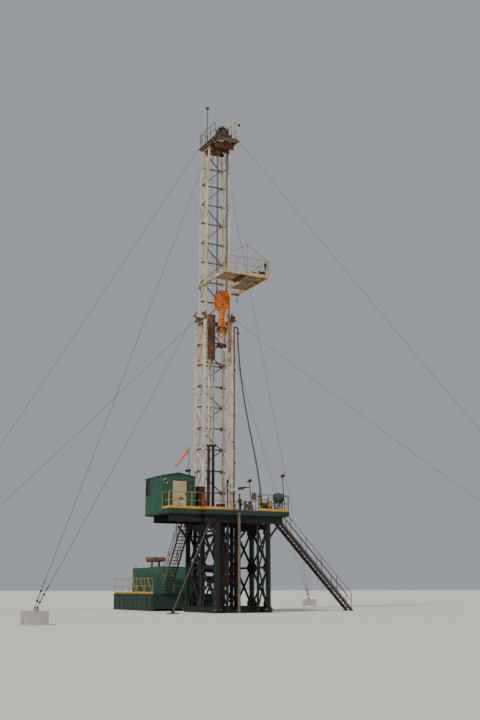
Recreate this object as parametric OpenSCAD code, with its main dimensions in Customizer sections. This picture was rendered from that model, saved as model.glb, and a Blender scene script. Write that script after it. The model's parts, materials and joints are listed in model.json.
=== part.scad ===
// Oil drilling rig: a telescoping mast on a raised drill floor, held by guy cables.
// Origin: well centre at ground level. Front, where pipe comes in, is -Y. Up is +Z.

/* [Guy pattern] */
// Distance of each guy anchor from the well centre, along X and along Y
anchor_reach = 18500; // [15000:500:19400]
// Side of a square anchor block
anchor_block = 1000; // [600:50:1200]
// Height of an anchor block
anchor_h = 600; // [400:50:1000]
// Diameter of a guy cable
guy_d = 26; // [16:2:40]
// Sag of a guy cable at its middle
guy_sag = 220; // [60:20:500]

/* [Substructure] */
// Height of the drill floor above the ground
floor_z = 6700; // [5800:100:8000]
// Distance from the centre line to the middle of a side frame
side_x = 1900; // [1750:50:1900]
// Reach of the side frames ahead of the well centre
sub_front = 3350; // [3000:50:3500]
// Reach of the side frames behind the well centre
sub_back = 1300; // [1000:50:1500]
// Width of the posts and beams of a side frame
post_w = 250; // [180:10:300]
// Width of a diagonal brace
brace_w = 120; // [80:10:160]
// Height of the main floor beams
beam_h = 500; // [350:25:600]
// Width of the main floor beams
beam_w = 200; // [140:10:260]
// Height of the floor joists and edge beams
joist_h = 300; // [200:25:350]
// Flange thickness of a rolled beam
flange_t = 25; // [12:1:36]
// Web thickness of a rolled beam
web_t = 16; // [8:1:30]

/* [Drill floor] */
// Left edge of the floor, from the centre line
floor_left = 2850; // [2800:50:3200]
// Right edge of the floor, from the centre line
floor_right = 3450; // [3200:50:3800]
// Front edge of the floor, from the well centre
floor_front = 3600; // [3500:50:3800]
// Back edge of the floor, from the well centre
floor_back = 2300; // [2150:50:2600]
// Thickness of the floor plate
plate_t = 50; // [20:5:60]
// Width of the stairwell cut out of the back left corner
well_w = 900; // [750:50:950]
// Place of the top step of the left stair, behind the well centre
well_front = 150; // [0:50:250]
// Bore of the rotary table
rotary_bore = 445; // [300:5:520]
// Outer diameter of the rotary table's turning plate
rotary_d = 1080; // [900:20:1200]
// Left side of the pipe gate gap in the front rail
gate_left = 870; // [700:10:1000]
// Right side of the pipe gate gap in the front rail
gate_right = 1050; // [900:10:1200]

/* [Rails] */
// Height of a handrail
rail_h = 1100; // [1000:10:1200]
// Diameter of handrail tube
rail_d = 45; // [34:1:60]
// Height of a toe board
toe_h = 150; // [100:10:200]
// Thickness of a toe board
toe_t = 8; // [5:1:15]

/* [Doghouse] */
// Width of the doghouse
dog_w = 2400; // [2200:50:2600]
// Depth of the doghouse
dog_d = 2850; // [2500:50:3000]
// Height of the doghouse walls
dog_h = 2400; // [2300:50:2700]
// Front wall of the doghouse, ahead of the well centre
dog_front = 2000; // [1900:50:2150]
// Gap between the floor's left edge and the doghouse
dog_gap = 100; // [60:10:150]
// Thickness of a doghouse wall
wall_t = 60; // [40:5:100]
// Rise of the roof from eaves to ridge
roof_rise = 220; // [120:10:400]
// Thickness of the roof
roof_t = 40; // [25:5:80]
// Depth of the porch in front of the doghouse
porch_d = 1150; // [1120:10:1220]
// Width of the doorway
door_w = 1030; // [850:10:1040]
// Height of the doorway above the floor
door_h = 1900; // [1800:10:2000]
// Thickness of the door leaf
leaf_t = 45; // [35:1:55]

/* [Stairs] */
// Run of the left stair
left_run = 3900; // [3600:100:4300]
// Run of the right stair
right_run = 6500; // [6000:100:7200]
// Width of a stair flight
stair_w = 700; // [600:20:700]
// Height of a step
riser = 230; // [200:5:260]
// Depth of a tread
tread = 220; // [180:5:240]

/* [Drawworks skid] */
// Height of the drawworks deck
deck_z = 1200; // [1000:50:1400]
// Length of the drawworks skid
skid_l = 7700; // [7000:100:8200]
// Width of the drawworks skid
skid_w = 4900; // [4500:100:5200]
// Height of the drawworks housing above its deck
house_h = 1900; // [1500:50:2200]

/* [Mast] */
// Half the distance between the lower section's legs
mast_x = 1120; // [1080:10:1200]
// Place of the front legs behind the well centre
mast_front = 500; // [480:10:600]
// Distance from the front legs to the back legs
mast_depth = 1350; // [1250:10:1400]
// Width of a lower leg
leg_w = 170; // [140:5:180]
// Height of the lower section
lower_h = 14100; // [13000:100:14500]
// Bays in the lower section
lower_bays = 9; // [8:1:11]
// Length of the upper section that stays inside the lower one
overlap = 3000; // [2600:100:3400]
// Width of an upper leg
upper_leg = 130; // [100:5:140]
// Straight length of the upper section
upper_straight = 13900; // [13400:100:14200]
// Bays in the straight length
upper_bays = 9; // [8:1:11]
// Tapered length under the crown
taper_h = 2900; // [2400:100:3200]
// Half the distance between the upper legs at the crown
crown_x = 750; // [700:10:850]
// Width of a girt
girt = 90; // [60:5:110]
// Width of a mast diagonal
lace = 70; // [50:5:80]
// Play between an upper leg and a lower leg
nest_gap = 20; // [10:1:30]

/* [Crown] */
// Height of the crown's base frame
crown_base_h = 300; // [200:20:360]
// Height of the beams that carry the sheaves
crown_beam_h = 350; // [250:25:400]
// Diameter of a crown sheave
sheave_d = 820; // [700:10:860]
// Thickness of a sheave
sheave_t = 70; // [50:2:80]
// Sheaves side by side in the crown
sheave_n = 4; // [3:1:4]
// Diameter of the drilling line
line_d = 28; // [22:1:34]

/* [Racking board] */
// Height of the racking board above the drill floor
board_up = 17000; // [16400:100:17600]
// Left edge of the board, from the centre line
board_left = 1160; // [1140:10:1250]
// Right edge of the board, from the centre line
board_right = 2430; // [2200:10:2500]
// Front edge of the board, ahead of the well centre
board_front = 2850; // [2600:50:3000]
// Back edge of the board, behind the well centre
board_back = 1900; // [1850:50:2100]
// Front edge of the opening that the block passes through
opening_front = 950; // [850:10:1100]
// Height of the board's edge channels
board_beam = 220; // [160:10:260]

/* [Travelling block] */
// Height of the block's underside above the drill floor, at rest
block_up = 14050; // [13000:50:14600]
// Width of the block
block_w = 1060; // [900:20:1120]
// Thickness of the block
block_d = 500; // [440:10:540]
// Height of the block
block_h = 2200; // [2000:50:2300]
// Length of an elevator link
link_l = 1300; // [1100:50:1500]

/* [Hidden] */

// Levels
beam_top = floor_z - plate_t - joist_h;
sub_top = beam_top - beam_h;
plate_low = floor_z - plate_t;
lower_top = floor_z + lower_h;
upper_low = lower_top - overlap;
taper_z = upper_low + upper_straight;
mast_top = taper_z + taper_h;
board_z = floor_z + board_up;
block_z = floor_z + block_up;
crown_deck = mast_top + crown_base_h;
crown_top = crown_deck + crown_beam_h;

// Places
mast_back = mast_front + mast_depth;
mast_mid = (mast_front + mast_back) / 2;
upper_x = mast_x - leg_w / 2 - nest_gap - upper_leg / 2;
upper_in = leg_w / 2 + upper_leg / 2;
upper_front = mast_front + upper_in;
upper_back = mast_back - upper_in;
dog_right = -floor_left - dog_gap;
dog_left = dog_right - dog_w;
dog_back = dog_d - dog_front;
skid_top = beam_top + 150;
wall_top = skid_top + dog_h;
door_top = floor_z + door_h;
door_x = dog_left + wall_t + 690;
porch_front = dog_front + porch_d;
well_left = -floor_left;
well_right = well_left + well_w;
stair_y = well_front;
skid_front = stair_y + left_run - 150;
skid_left = -3400;
house_x = skid_left + 1350;

function unit(v) = v / norm(v);
function tangent(path, i) = unit(path[min(i + 1, len(path) - 1)] - path[max(i - 1, 0)]);
function ring_at(p, t, s, r, n) = let (u = unit(cross(s, t)), w = cross(t, u))
    [for (k = [0:n - 1]) p + r * (cos(360 * k / n) * w + sin(360 * k / n) * u)];
function sagged(a, b, sag, n) = [for (i = [0:n]) let (f = i / n)
    a + (b - a) * f - [0, 0, 4 * sag * f * (1 - f)]];

// Tube of n sides along a path; side is level and square to the path's upright plane
module tube_along(path, side, d, n) {
    m = len(path);
    points = [for (i = [0:m - 1]) each ring_at(path[i], tangent(path, i), side, d / 2, n)];
    walls = [for (i = [0:m - 2], k = [0:n - 1]) let (a = i * n + k, b = i * n + (k + 1) % n)
        each [[a, b, b + n], [a, b + n, a + n]]];
    ends = [[for (k = [n - 1:-1:0]) k], [for (k = [0:n - 1]) (m - 1) * n + k]];
    polyhedron(points, concat(walls, ends), convexity = 10);
}

// Straight bar from a to b; h lies in the upright plane through the bar
module bar(a, b, w, h) {
    d = b - a;
    translate(a) rotate([0, acos(d[2] / norm(d)), atan2(d[1], d[0])])
        translate([-h / 2, -w / 2, 0]) cube([h, w, norm(d)]);
}

// Round rod from a to b
module rod(a, b, d, n = 8) {
    v = b - a;
    translate(a) rotate([0, acos(v[2] / norm(v)), atan2(v[1], v[0])])
        cylinder(d = d, h = norm(v), $fn = n);
}

// Rolled beam from a to b, along its centre line
module rolled_beam(a, b, w, h) {
    v = b - a;
    translate(a) rotate([0, acos(v[2] / norm(v)), atan2(v[1], v[0])]) linear_extrude(norm(v)) {
        translate([h / 2 - flange_t, -w / 2]) square([flange_t, w]);
        translate([-h / 2, -w / 2]) square([flange_t, w]);
        translate([-h / 2, -web_t / 2]) square([h, web_t]);
    }
}

// Block from corner to corner
module block(low, high) {
    translate(low) cube(high - low);
}

// Handrail panel from a to b at deck level, with n bays
module rail_panel(a, b, n, h = rail_h) {
    up = [0, 0, h - rail_d / 2];
    for (i = [0:n]) {
        p = a + (b - a) * i / n;
        rod(p, p + up, rail_d);
    }
    rod(a + up, b + up, rail_d);
    rod(a + up / 2, b + up / 2, rail_d * 0.8);
}

stringer_t = 40;
stringer_v = 330;
tread_t = 35;

// One stringer of a stair that goes down along +X from the origin, with its handrail set out to side s
module stringer_side(run, drop, s) {
    slope = drop / run;
    rotate([90, 0, 0]) linear_extrude(stringer_t, center = true)
        polygon([[0, 0], [run, -drop], [run - run * stringer_v / drop, -drop], [0, -stringer_v]]);
    n = ceil(run / 1400);
    for (i = [0:n]) {
        x = 80 + (run - 260) * i / n;
        rod([x, s * 3, -x * slope - stringer_v / 2], [x, s * 3, -x * slope + rail_h - 60], rail_d);
    }
    for (k = [1, 0.5])
        rod([80, s * 3, -80 * slope + (rail_h - 60) * k],
            [run - 180, s * 3, (180 - run) * slope + (rail_h - 60) * k], rail_d * 0.9);
}

module stair_sides(run, drop) {
    for (s = [-1, 1]) translate([0, s * (stair_w - stringer_t) / 2, 0]) stringer_side(run, drop, s);
}

module stair_steps(run, drop) {
    n = round(drop / riser);
    for (i = [1:n - 1])
        translate([run * i / n - tread * 0.68, -stair_w / 2 + stringer_t, -drop * i / n - tread_t])
            cube([tread, stair_w - 2 * stringer_t, tread_t]);
}

module place_left_stair() {
    translate([(well_left + well_right) / 2, stair_y, floor_z]) rotate(90) children();
}

stair_right_y = -1200;
module place_right_stair() {
    translate([floor_right, stair_right_y, floor_z]) children();
}

// Flat braced frame that carries one side of the floor
module side_frame(x) {
    y_at = [-sub_front, (sub_back - sub_front) / 2, sub_back];
    top_h = 350;
    block([x - post_w / 2, -sub_front - 250, 0], [x + post_w / 2, sub_back + 250, skid_h]);
    block([x - post_w / 2, -sub_front - post_w / 2, sub_top - top_h], [x + post_w / 2, sub_back + post_w / 2, sub_top]);
    for (y = y_at) block([x - post_w / 2, y - post_w / 2, skid_h / 2], [x + post_w / 2, y + post_w / 2, sub_top - 10]);
    for (i = [0, 1]) {
        low = skid_h;
        high = sub_top - top_h;
        mid = (low + high) / 2;
        bar([x, y_at[i], mid], [x, y_at[i + 1], mid], brace_w + 20, brace_w + 20);
        for (z = [[low, mid], [mid, high]]) {
            bar([x, y_at[i], z[0] + 30], [x, y_at[i + 1], z[1] - 30], brace_w, brace_w);
            bar([x, y_at[i], z[1] - 30], [x, y_at[i + 1], z[0] + 30], brace_w - 20, brace_w - 20);
        }
    }
}

skid_h = 400;
module side_frame_left() {
    color("darkslategray") side_frame(-side_x);
}

module side_frame_right() {
    color("darkslategray") side_frame(side_x);
}

pedestal_w = 200;
pedestal_low = 700;
// One braced pair of columns under the two legs of a mast side
module pedestal(x) {
    for (y = [mast_front, mast_back]) {
        block([x - pedestal_w / 2, y - pedestal_w / 2, 0], [x + pedestal_w / 2, y + pedestal_w / 2, sub_top]);
        block([x - 180, y - 180, 0], [x + 180, y + 180, 40]);
    }
    for (i = [0:2]) {
        step = (sub_top - pedestal_low - 200) / 3;
        low = pedestal_low + step * i;
        bar([x, mast_front, low], [x, mast_back, low], brace_w, brace_w);
        bar([x, mast_front, low], [x, mast_back, low + step], 90, 90);
        bar([x, mast_front, low + step], [x, mast_back, low], 80, 80);
    }
}

module mast_pedestals() {
    color("darkslategray") for (x = [-mast_x, mast_x]) pedestal(x);
}

// Beams between the skids, and the braced panel between the back columns
module cross_bracing() {
    reach = side_x - post_w / 2;
    x = mast_x - pedestal_w / 2;
    step = (sub_top - pedestal_low - 300) / 2;
    color("darkslategray") {
        for (y = [-sub_front + 300, mast_mid])
            rolled_beam([-reach, y, skid_h / 2], [reach, y, skid_h / 2], post_w, skid_h);
        for (i = [0:2]) {
            z = pedestal_low + step * i;
            bar([-x, mast_back, z], [x, mast_back, z], brace_w, brace_w);
        }
        for (i = [0, 1]) {
            z = pedestal_low + step * i;
            bar([90 - x, mast_back, z], [x - 90, mast_back, z + step], 90, 90);
            bar([x - 90, mast_back, z], [90 - x, mast_back, z + step], 80, 80);
        }
    }
}

prop_d = 140;
prop_y = -sub_front;
module diagonal_prop() {
    top = [-floor_left + 350, prop_y, sub_top - 45];
    foot = [-floor_left - 2200, prop_y, 130];
    color("darkolivegreen") {
        rod(top, foot, prop_d, 24);
        block(top - [150, 130, 0], top + [150, 130, 45]);
        block([foot[0] - 300, prop_y - 300, 0], [foot[0] + 300, prop_y + 300, 60]);
        block([foot[0] - 90, prop_y - 90, 30], [foot[0] + 90, prop_y + 90, 170]);
    }
}

beam_reach = floor_right - 390;
beams_at = [-sub_front, -mast_front, mast_front, mast_back];
module floor_beams() {
    z = sub_top + beam_h / 2;
    color("darkslategray") {
        rolled_beam([-floor_left, beams_at[0], z], [beam_reach, beams_at[0], z], beam_w, beam_h);
        rolled_beam([dog_left + 60, beams_at[1], z], [beam_reach, beams_at[1], z], beam_w, beam_h);
        rolled_beam([well_right, beams_at[2], z], [beam_reach, beams_at[2], z], beam_w, beam_h);
        rolled_beam([well_right, beams_at[3], z], [beam_reach, beams_at[3], z], beam_w, beam_h);
        rolled_beam([dog_left + 60, -porch_front + 150, z], [-side_x + post_w / 2, -porch_front + 150, z],
            beam_w, beam_h);
    }
}

rotary_base = 1300;
edge_t = 60;
joist_w = 120;
module floor_joists() {
    z = beam_top + joist_h / 2;
    front = -floor_front + edge_t;
    back = floor_back - edge_t;
    inner = rotary_base / 2 + joist_w / 2 + 20;
    color("darkslategray") {
        rolled_beam([-floor_left + 250, front, z], [-floor_left + 250, well_front - edge_t, z], joist_w, joist_h);
        for (x = [-side_x + 80, -inner, inner, side_x, beam_reach - 100])
            rolled_beam([x, front, z], [x, back, z], joist_w, joist_h);
    }
}

// Edge beams round the floor; each run stops short of the next
module floor_edge_beams() {
    low = beam_top;
    high = plate_low;
    gap = 2;
    color("darkgreen") {
        block([-floor_left, -floor_front, low], [floor_right, -floor_front + edge_t, high]);
        block([floor_right - edge_t, -floor_front + edge_t + gap, low],
            [floor_right, floor_back - edge_t - gap, high]);
        block([well_right, floor_back - edge_t, low], [floor_right, floor_back, high]);
        block([well_right, well_front + gap, low], [well_right + edge_t, floor_back - edge_t - gap, high]);
        block([-floor_left, well_front - edge_t, low], [well_right + edge_t, well_front, high]);
        block([-floor_left, -floor_front + edge_t + gap, low],
            [-floor_left + edge_t, well_front - edge_t - gap, high]);
    }
}

// Floor plate in four fields: front, back, and one on each side of the rotary table
module drill_floor() {
    r = rotary_base / 2;
    color("dimgray") difference() {
        union() {
            block([-floor_left, -floor_front, plate_low], [floor_right, well_front, floor_z]);
            block([well_right, well_front - 1, plate_low], [floor_right, floor_back, floor_z]);
        }
        block([-r, -r, plate_low - 10], [r, r, floor_z + 10]);
    }
}

module rotary_table() {
    r = rotary_base / 2;
    color("dimgray") difference() {
        union() {
            block([-r, -r, beam_top], [r, r, floor_z]);
            translate([0, 0, floor_z - 10]) cylinder(d = rotary_d, h = 70, $fn = 64);
        }
        translate([0, 0, beam_top - 10]) cylinder(d = rotary_bore, h = 1000, $fn = 64);
        translate([0, 0, floor_z + 20]) cylinder(d = rotary_bore + 160, h = 200, $fn = 64);
    }
}

module toe_board(a, b) {
    bar(a + [0, 0, toe_h / 2], b + [0, 0, toe_h / 2], toe_t, toe_h);
}

rail_in = rail_d / 2 + 12;
module toe_boards() {
    x0 = -floor_left;
    x1 = floor_right;
    y0 = -floor_front;
    y1 = floor_back;
    e = toe_t;
    g = 3;
    s = stair_w / 2;
    color("gold") translate([0, 0, floor_z]) {
        toe_board([x0, y0 + e / 2, 0], [-gate_left, y0 + e / 2, 0]);
        toe_board([gate_right, y0 + e / 2, 0], [x1, y0 + e / 2, 0]);
        toe_board([x1 - e / 2, y0 + e + g, 0], [x1 - e / 2, stair_right_y - s, 0]);
        toe_board([x1 - e / 2, stair_right_y + s, 0], [x1 - e / 2, y1 - e - g, 0]);
        toe_board([well_right, y1 - e / 2, 0], [x1, y1 - e / 2, 0]);
        toe_board([well_right + e / 2, well_front, 0], [well_right + e / 2, y1 - e - g, 0]);
        toe_board([x0 + e / 2, y0 + e + g, 0], [x0 + e / 2, -porch_front - g, 0]);
        toe_board([dog_left, -porch_front + e / 2, 0], [x0 + e, -porch_front + e / 2, 0]);
        toe_board([dog_left + e / 2, -porch_front + e + g, 0], [dog_left + e / 2, -dog_front - g, 0]);
    }
}

module floor_rails() {
    x0 = -floor_left + rail_in;
    x1 = floor_right - rail_in;
    y0 = -floor_front + rail_in;
    y1 = floor_back - rail_in;
    s = stair_w / 2 + rail_in + 10;
    c = 2.2 * rail_d;
    w = well_right + rail_in;
    color("gold") translate([0, 0, floor_z]) {
        rail_panel([x0, y0, 0], [-gate_left, y0, 0], 2);
        rail_panel([gate_right, y0, 0], [x1, y0, 0], 3);
        rail_panel([x1, y0 + c, 0], [x1, stair_right_y - s, 0], 2);
        rail_panel([x1, stair_right_y + s, 0], [x1, y1 - c, 0], 3);
        rail_panel([w + c, y1, 0], [x1, y1, 0], 5);
        rail_panel([w, well_front + 60, 0], [w, y1 - c, 0], 2);
        rail_panel([x0, y0 + c, 0], [x0, -porch_front, 0], 1);
    }
}

module porch_deck() {
    x0 = dog_left;
    x1 = -floor_left;
    color("darkgreen") {
        block([x0, -porch_front, plate_low], [x1, -dog_front, floor_z]);
        block([x0, -porch_front, beam_top], [x1, -porch_front + edge_t, plate_low]);
        block([x0, -porch_front + 20, beam_top], [x0 + edge_t, -dog_front, plate_low]);
        block([x1 - edge_t, -porch_front + 20, beam_top], [x1, -dog_front, plate_low]);
    }
}

module porch_rails() {
    x0 = dog_left + rail_in;
    x1 = -floor_left - rail_in;
    y0 = -porch_front + rail_in;
    c = 2.2 * rail_d;
    color("gold") translate([0, 0, floor_z]) {
        rail_panel([x0, y0, 0], [x1, y0, 0], 3);
        rail_panel([x0, y0 + c, 0], [x0, -dog_front - rail_in, 0], 1);
    }
}

// Skid of channels with the plated floor on it
module doghouse_base() {
    x0 = dog_left;
    x1 = dog_right;
    y0 = -dog_front;
    y1 = dog_back;
    s = 120;
    color("darkgreen") {
        for (y = [y0, (y0 + y1 - s) / 2, y1 - s]) block([x0, y, beam_top], [x1, y + s, skid_top]);
        for (x = [x0, x1 - s]) block([x, y0, beam_top], [x + s, y1, skid_top]);
        block([x0 + wall_t, y0 + wall_t, skid_top - 5], [x1 - wall_t, y1 - wall_t, floor_z]);
        block([door_x, y0, skid_top - 5], [door_x + door_w, y0 + wall_t + 5, floor_z]);
    }
}

side_window_y = 100;
side_window_w = 650;
side_window_h = 1000;
side_window_z = wall_top - 120 - side_window_h;
module doghouse_left_wall() {
    color("seagreen") difference() {
        block([dog_left, -dog_front, skid_top], [dog_left + wall_t, dog_back, wall_top]);
        block([dog_left - 10, side_window_y, side_window_z],
            [dog_left + wall_t + 10, side_window_y + side_window_w, side_window_z + side_window_h]);
    }
}

module doghouse_right_wall() {
    color("seagreen") block([dog_right - wall_t, -dog_front, skid_top], [dog_right, dog_back, wall_top]);
}

// Wall head whose top follows the roof
module gable(y, z_low) {
    mid = (dog_left + dog_right) / 2;
    half = dog_w / 2;
    in = half - wall_t;
    translate([mid, y + wall_t, 0]) rotate([90, 0, 0]) linear_extrude(wall_t)
        polygon([[-in, z_low], [in, z_low], [in, wall_top + roof_rise * wall_t / half], [0, wall_top + roof_rise],
            [-in, wall_top + roof_rise * wall_t / half]]);
}

module doghouse_back_wall() {
    color("seagreen") gable(dog_back - wall_t, skid_top);
}

front_window_w = 340;
front_window_h = 600;
front_window_x = dog_right - wall_t - 120 - front_window_w;
front_window_z = door_top - 60 - front_window_h;
module doghouse_front_walls() {
    y = -dog_front;
    color("seagreen") {
        block([dog_left + wall_t, y, skid_top], [door_x, y + wall_t, door_top]);
        difference() {
            block([door_x + door_w, y, skid_top], [dog_right - wall_t, y + wall_t, door_top]);
            block([front_window_x, y - 10, front_window_z],
                [front_window_x + front_window_w, y + wall_t + 10, front_window_z + front_window_h]);
        }
    }
}

module doghouse_lintel() {
    color("seagreen") gable(-dog_front, door_top);
}

module doghouse_roof() {
    half = dog_w / 2 + 40;
    drop = roof_rise * 40 / (dog_w / 2);
    color("seagreen") translate([(dog_left + dog_right) / 2, dog_back + 40, wall_top]) rotate([90, 0, 0])
        linear_extrude(dog_d + 80)
            polygon([[-half, -drop], [0, roof_rise], [half, -drop], [half, roof_t - drop], [0, roof_rise + roof_t],
                [-half, roof_t - drop]]);
}

hinge_d = 24;
hinge_x = door_x - 3;
hinge_y = -dog_front - hinge_d / 2 - 2;
door_play = 6;
module doghouse_door() {
    x0 = door_x + door_play;
    x1 = door_x + door_w - door_play;
    y = -dog_front;
    color("tan") {
        block([x0, y, floor_z + 10], [x1, y + leaf_t, door_top - door_play]);
        for (z = [0.12, 0.5, 0.88]) translate([0, 0, floor_z + door_h * z]) {
            translate([hinge_x, hinge_y, -60]) cylinder(d = hinge_d, h = 120, $fn = 24);
            block([hinge_x, hinge_y - 2, -50], [hinge_x + 160, y - 1, 50]);
            block([x0, hinge_y - 2, -50], [hinge_x + 160, y + 1, 50]);
        }
        block([x1 - 130, y - 20, floor_z + 960], [x1 - 60, y + 1, floor_z + 1120]);
        block([x1 - 190, y - 45, floor_z + 1060], [x1 - 80, y - 20, floor_z + 1085]);
    }
}

glass_t = 10;
module doghouse_windows() {
    color("slategray") {
        block([dog_left + 25, side_window_y, side_window_z],
            [dog_left + 25 + glass_t, side_window_y + side_window_w, side_window_z + side_window_h]);
        block([front_window_x, -dog_front + 25, front_window_z],
            [front_window_x + front_window_w, -dog_front + 25 + glass_t, front_window_z + front_window_h]);
    }
}

module stair_left() {
    color("saddlebrown") place_left_stair() stair_sides(left_run, floor_z - deck_z);
}

module stair_right() {
    color("saddlebrown") place_right_stair() stair_sides(right_run, floor_z);
}

module stair_treads() {
    color("dimgray") {
        place_left_stair() stair_steps(left_run, floor_z - deck_z);
        place_right_stair() stair_steps(right_run, floor_z);
    }
}

// Flat braced side of the mast at x; the diagonals turn back at each bay
module mast_side(x, y0, y1, z0, z1, bays, leg, end_girt) {
    step = (z1 - z0 - girt) / bays;
    for (y = [y0, y1]) block([x - leg / 2, y - leg / 2, z0], [x + leg / 2, y + leg / 2, z1]);
    for (i = [0:end_girt ? bays : bays - 1])
        bar([x, y0, z0 + girt / 2 + step * i], [x, y1, z0 + girt / 2 + step * i], girt, girt);
    for (i = [0:bays - 1]) {
        low = z0 + girt / 2 + step * i;
        flip = i % 2 == 0;
        bar([x, flip ? y0 : y1, low], [x, flip ? y1 : y0, low + step], lace, lace);
    }
}

foot_x = leg_w / 2 + 20;
module mast_lower_left() {
    color("wheat") {
        mast_side(-mast_x, mast_front, mast_back, floor_z, lower_top, lower_bays, leg_w, true);
        for (y = [mast_front, mast_back])
            block([-mast_x - foot_x, y - 150, floor_z], [-mast_x + foot_x, y + 150, floor_z + 40]);
    }
}

module mast_lower_right() {
    color("wheat") {
        mast_side(mast_x, mast_front, mast_back, floor_z, lower_top, lower_bays, leg_w, true);
        for (y = [mast_front, mast_back])
            block([mast_x - foot_x, y - 150, floor_z], [mast_x + foot_x, y + 150, floor_z + 40]);
    }
}

// Girts and zigzag between two back legs whose inner faces are reach from the middle; play shortens the top girt
module back_lattice(y, reach, z0, z1, bays, first, play = 0) {
    step = (z1 - z0 - girt) / bays;
    for (i = [first:bays]) {
        end = i == bays ? reach - play : reach;
        bar([-end, y, z0 + girt / 2 + step * i], [end, y, z0 + girt / 2 + step * i], girt, girt);
    }
    for (i = [first:bays - 1]) {
        low = z0 + girt / 2 + step * i;
        s = i % 2 == 0 ? 1 : -1;
        in = reach - lace;
        bar([-s * in, y, low], [s * in, y, low + step], lace, lace);
    }
}

module mast_lower_back() {
    color("wheat") back_lattice(mast_back, mast_x - leg_w / 2, floor_z, lower_top, lower_bays, 1);
}

taper_bays = 2;
// Side of the upper section, with its legs drawn in under the crown
module mast_upper_side(s) {
    x = s * upper_x;
    mast_side(x, upper_front, upper_back, upper_low, taper_z + girt, upper_bays, upper_leg, true);
    top = s * crown_x;
    for (y = [upper_front, upper_back])
        bar([x, y, taper_z], [top, y, mast_top - 60], upper_leg - 10, upper_leg);
    // Dogs that rest on the collar of the lower section
    dog_x = s * (upper_x + upper_leg / 2 + nest_gap + 70);
    for (y = [upper_front, upper_back])
        block([min(x, dog_x), y - 50, lower_top + collar_h + seat], [max(x, dog_x), y + 50, lower_top + collar_h + 140]);
    for (i = [1:taper_bays]) {
        f = (i - 0.04) / taper_bays;
        g = (i - 1) / taper_bays;
        z = taper_z + taper_h * f;
        xa = x + (top - x) * f;
        xb = x + (top - x) * g;
        flip = i % 2 == 0;
        bar([xa, upper_front, z], [xa, upper_back, z], girt, girt);
        bar([xb, flip ? upper_front : upper_back, taper_z + taper_h * g + girt / 2],
            [xa, flip ? upper_back : upper_front, z], lace, lace);
    }
    for (y = [upper_front, upper_back])
        block([top - upper_leg / 2 - 30, y - upper_leg / 2 - 20, mast_top - 120],
            [top + upper_leg / 2 + 30, y + upper_leg / 2 + 20, mast_top]);
}

module mast_upper_left() {
    color("wheat") mast_upper_side(-1);
}

module mast_upper_right() {
    color("wheat") mast_upper_side(1);
}

module mast_upper_back() {
    reach = upper_x - upper_leg / 2;
    color("wheat") {
        back_lattice(upper_back, reach, upper_low, taper_z + girt, upper_bays, 0, 12);
        mid = taper_z + taper_h / 2;
        mid_x = (upper_x + crown_x) / 2 - upper_leg / 2 - 25;
        top_x = crown_x - upper_leg / 2 - 45;
        in = reach - lace;
        bar([-mid_x, upper_back, mid], [mid_x, upper_back, mid], girt, girt);
        bar([-in, upper_back, taper_z + girt / 2], [mid_x - 90, upper_back, mid], lace, lace);
        bar([mid_x - 90, upper_back, mid], [-top_x + 40, upper_back, mast_top - 180], lace, lace);
        bar([-top_x, upper_back, mast_top - 180], [top_x, upper_back, mast_top - 180], girt, girt);
    }
}

// Collar on top of the lower section, open at the front, with its lock arms
collar_h = 260;
seat = 0.3;
module mast_guides() {
    out = mast_x + leg_w / 2 + 30;
    in = upper_x + upper_leg / 2 + nest_gap;
    y0 = mast_front - leg_w / 2;
    y1 = mast_back + leg_w / 2 + 30;
    yb = upper_back + upper_leg / 2 + nest_gap;
    color("sienna") {
        for (s = [-1, 1]) translate([0, 0, lower_top]) {
            block([min(s * in, s * out), y0, 0], [max(s * in, s * out), y1, collar_h]);
            for (y = [y0 + 90, y1 - 90]) bar([s * (in + 60), y, 120], [s * (in + 60), y, 620], 120, 90);
        }
        block([-out, yb, lower_top], [out, y1, lower_top + collar_h]);
        bar([-out + 40, mast_front, lower_top + 150], [-out - left_arm, mast_front, lower_top + 150], 140, 160);
        bar([-out + 20, mast_mid, lower_top + 120], [-out - left_arm + 60, mast_front, lower_top + 120], 80, 80);
        bar([out - 40, mast_front, lower_top + 150], [out + right_arm, mast_front, lower_top + 150], 140, 160);
    }
}

ladder_x = -100;
ladder_w = 420;
rung_step = 300;
// Ladder from z0 to z1 that stands off a back face at y
module ladder(y, z0, z1) {
    for (s = [-1, 1]) {
        x = ladder_x + s * ladder_w / 2;
        block([x - 12, y + 40, z0], [x + 12, y + 100, z1]);
        for (z = [z0 + 250:(z1 - z0 - 500) / 6:z1 - 200]) block([x - 10, y, z - 40], [x + 10, y + 50, z + 40]);
    }
    for (z = [z0 + 150:rung_step:z1 - 60])
        rod([ladder_x - ladder_w / 2, y + 70, z], [ladder_x + ladder_w / 2, y + 70, z], 24, 6);
}

module mast_ladder() {
    color("darkgoldenrod") {
        ladder(mast_back + girt / 2, floor_z, lower_top);
        ladder(upper_back + girt / 2, lower_top + 300, mast_top - 160);
    }
}

cylinder_mid = -165;
cylinder_x = 185;
cylinder_y = upper_front + 650;
cylinder_l = 5000;
module raising_cylinders() {
    color("dimgray") {
        for (s = [-1, 1]) translate([cylinder_mid + s * cylinder_x, cylinder_y, floor_z]) {
            cylinder(d = 320, h = 60, $fn = 32);
            cylinder(d = 215, h = cylinder_l * 0.62, $fn = 32);
            translate([0, 0, cylinder_l * 0.62 - 80]) cylinder(d = 260, h = 150, $fn = 32);
            cylinder(d = 185, h = cylinder_l - 100, $fn = 32);
        }
        block([cylinder_mid - cylinder_x - 150, cylinder_y - 100, floor_z + cylinder_l - 150],
            [cylinder_mid + cylinder_x + 150, cylinder_y + 100, floor_z + cylinder_l]);
    }
}

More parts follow.
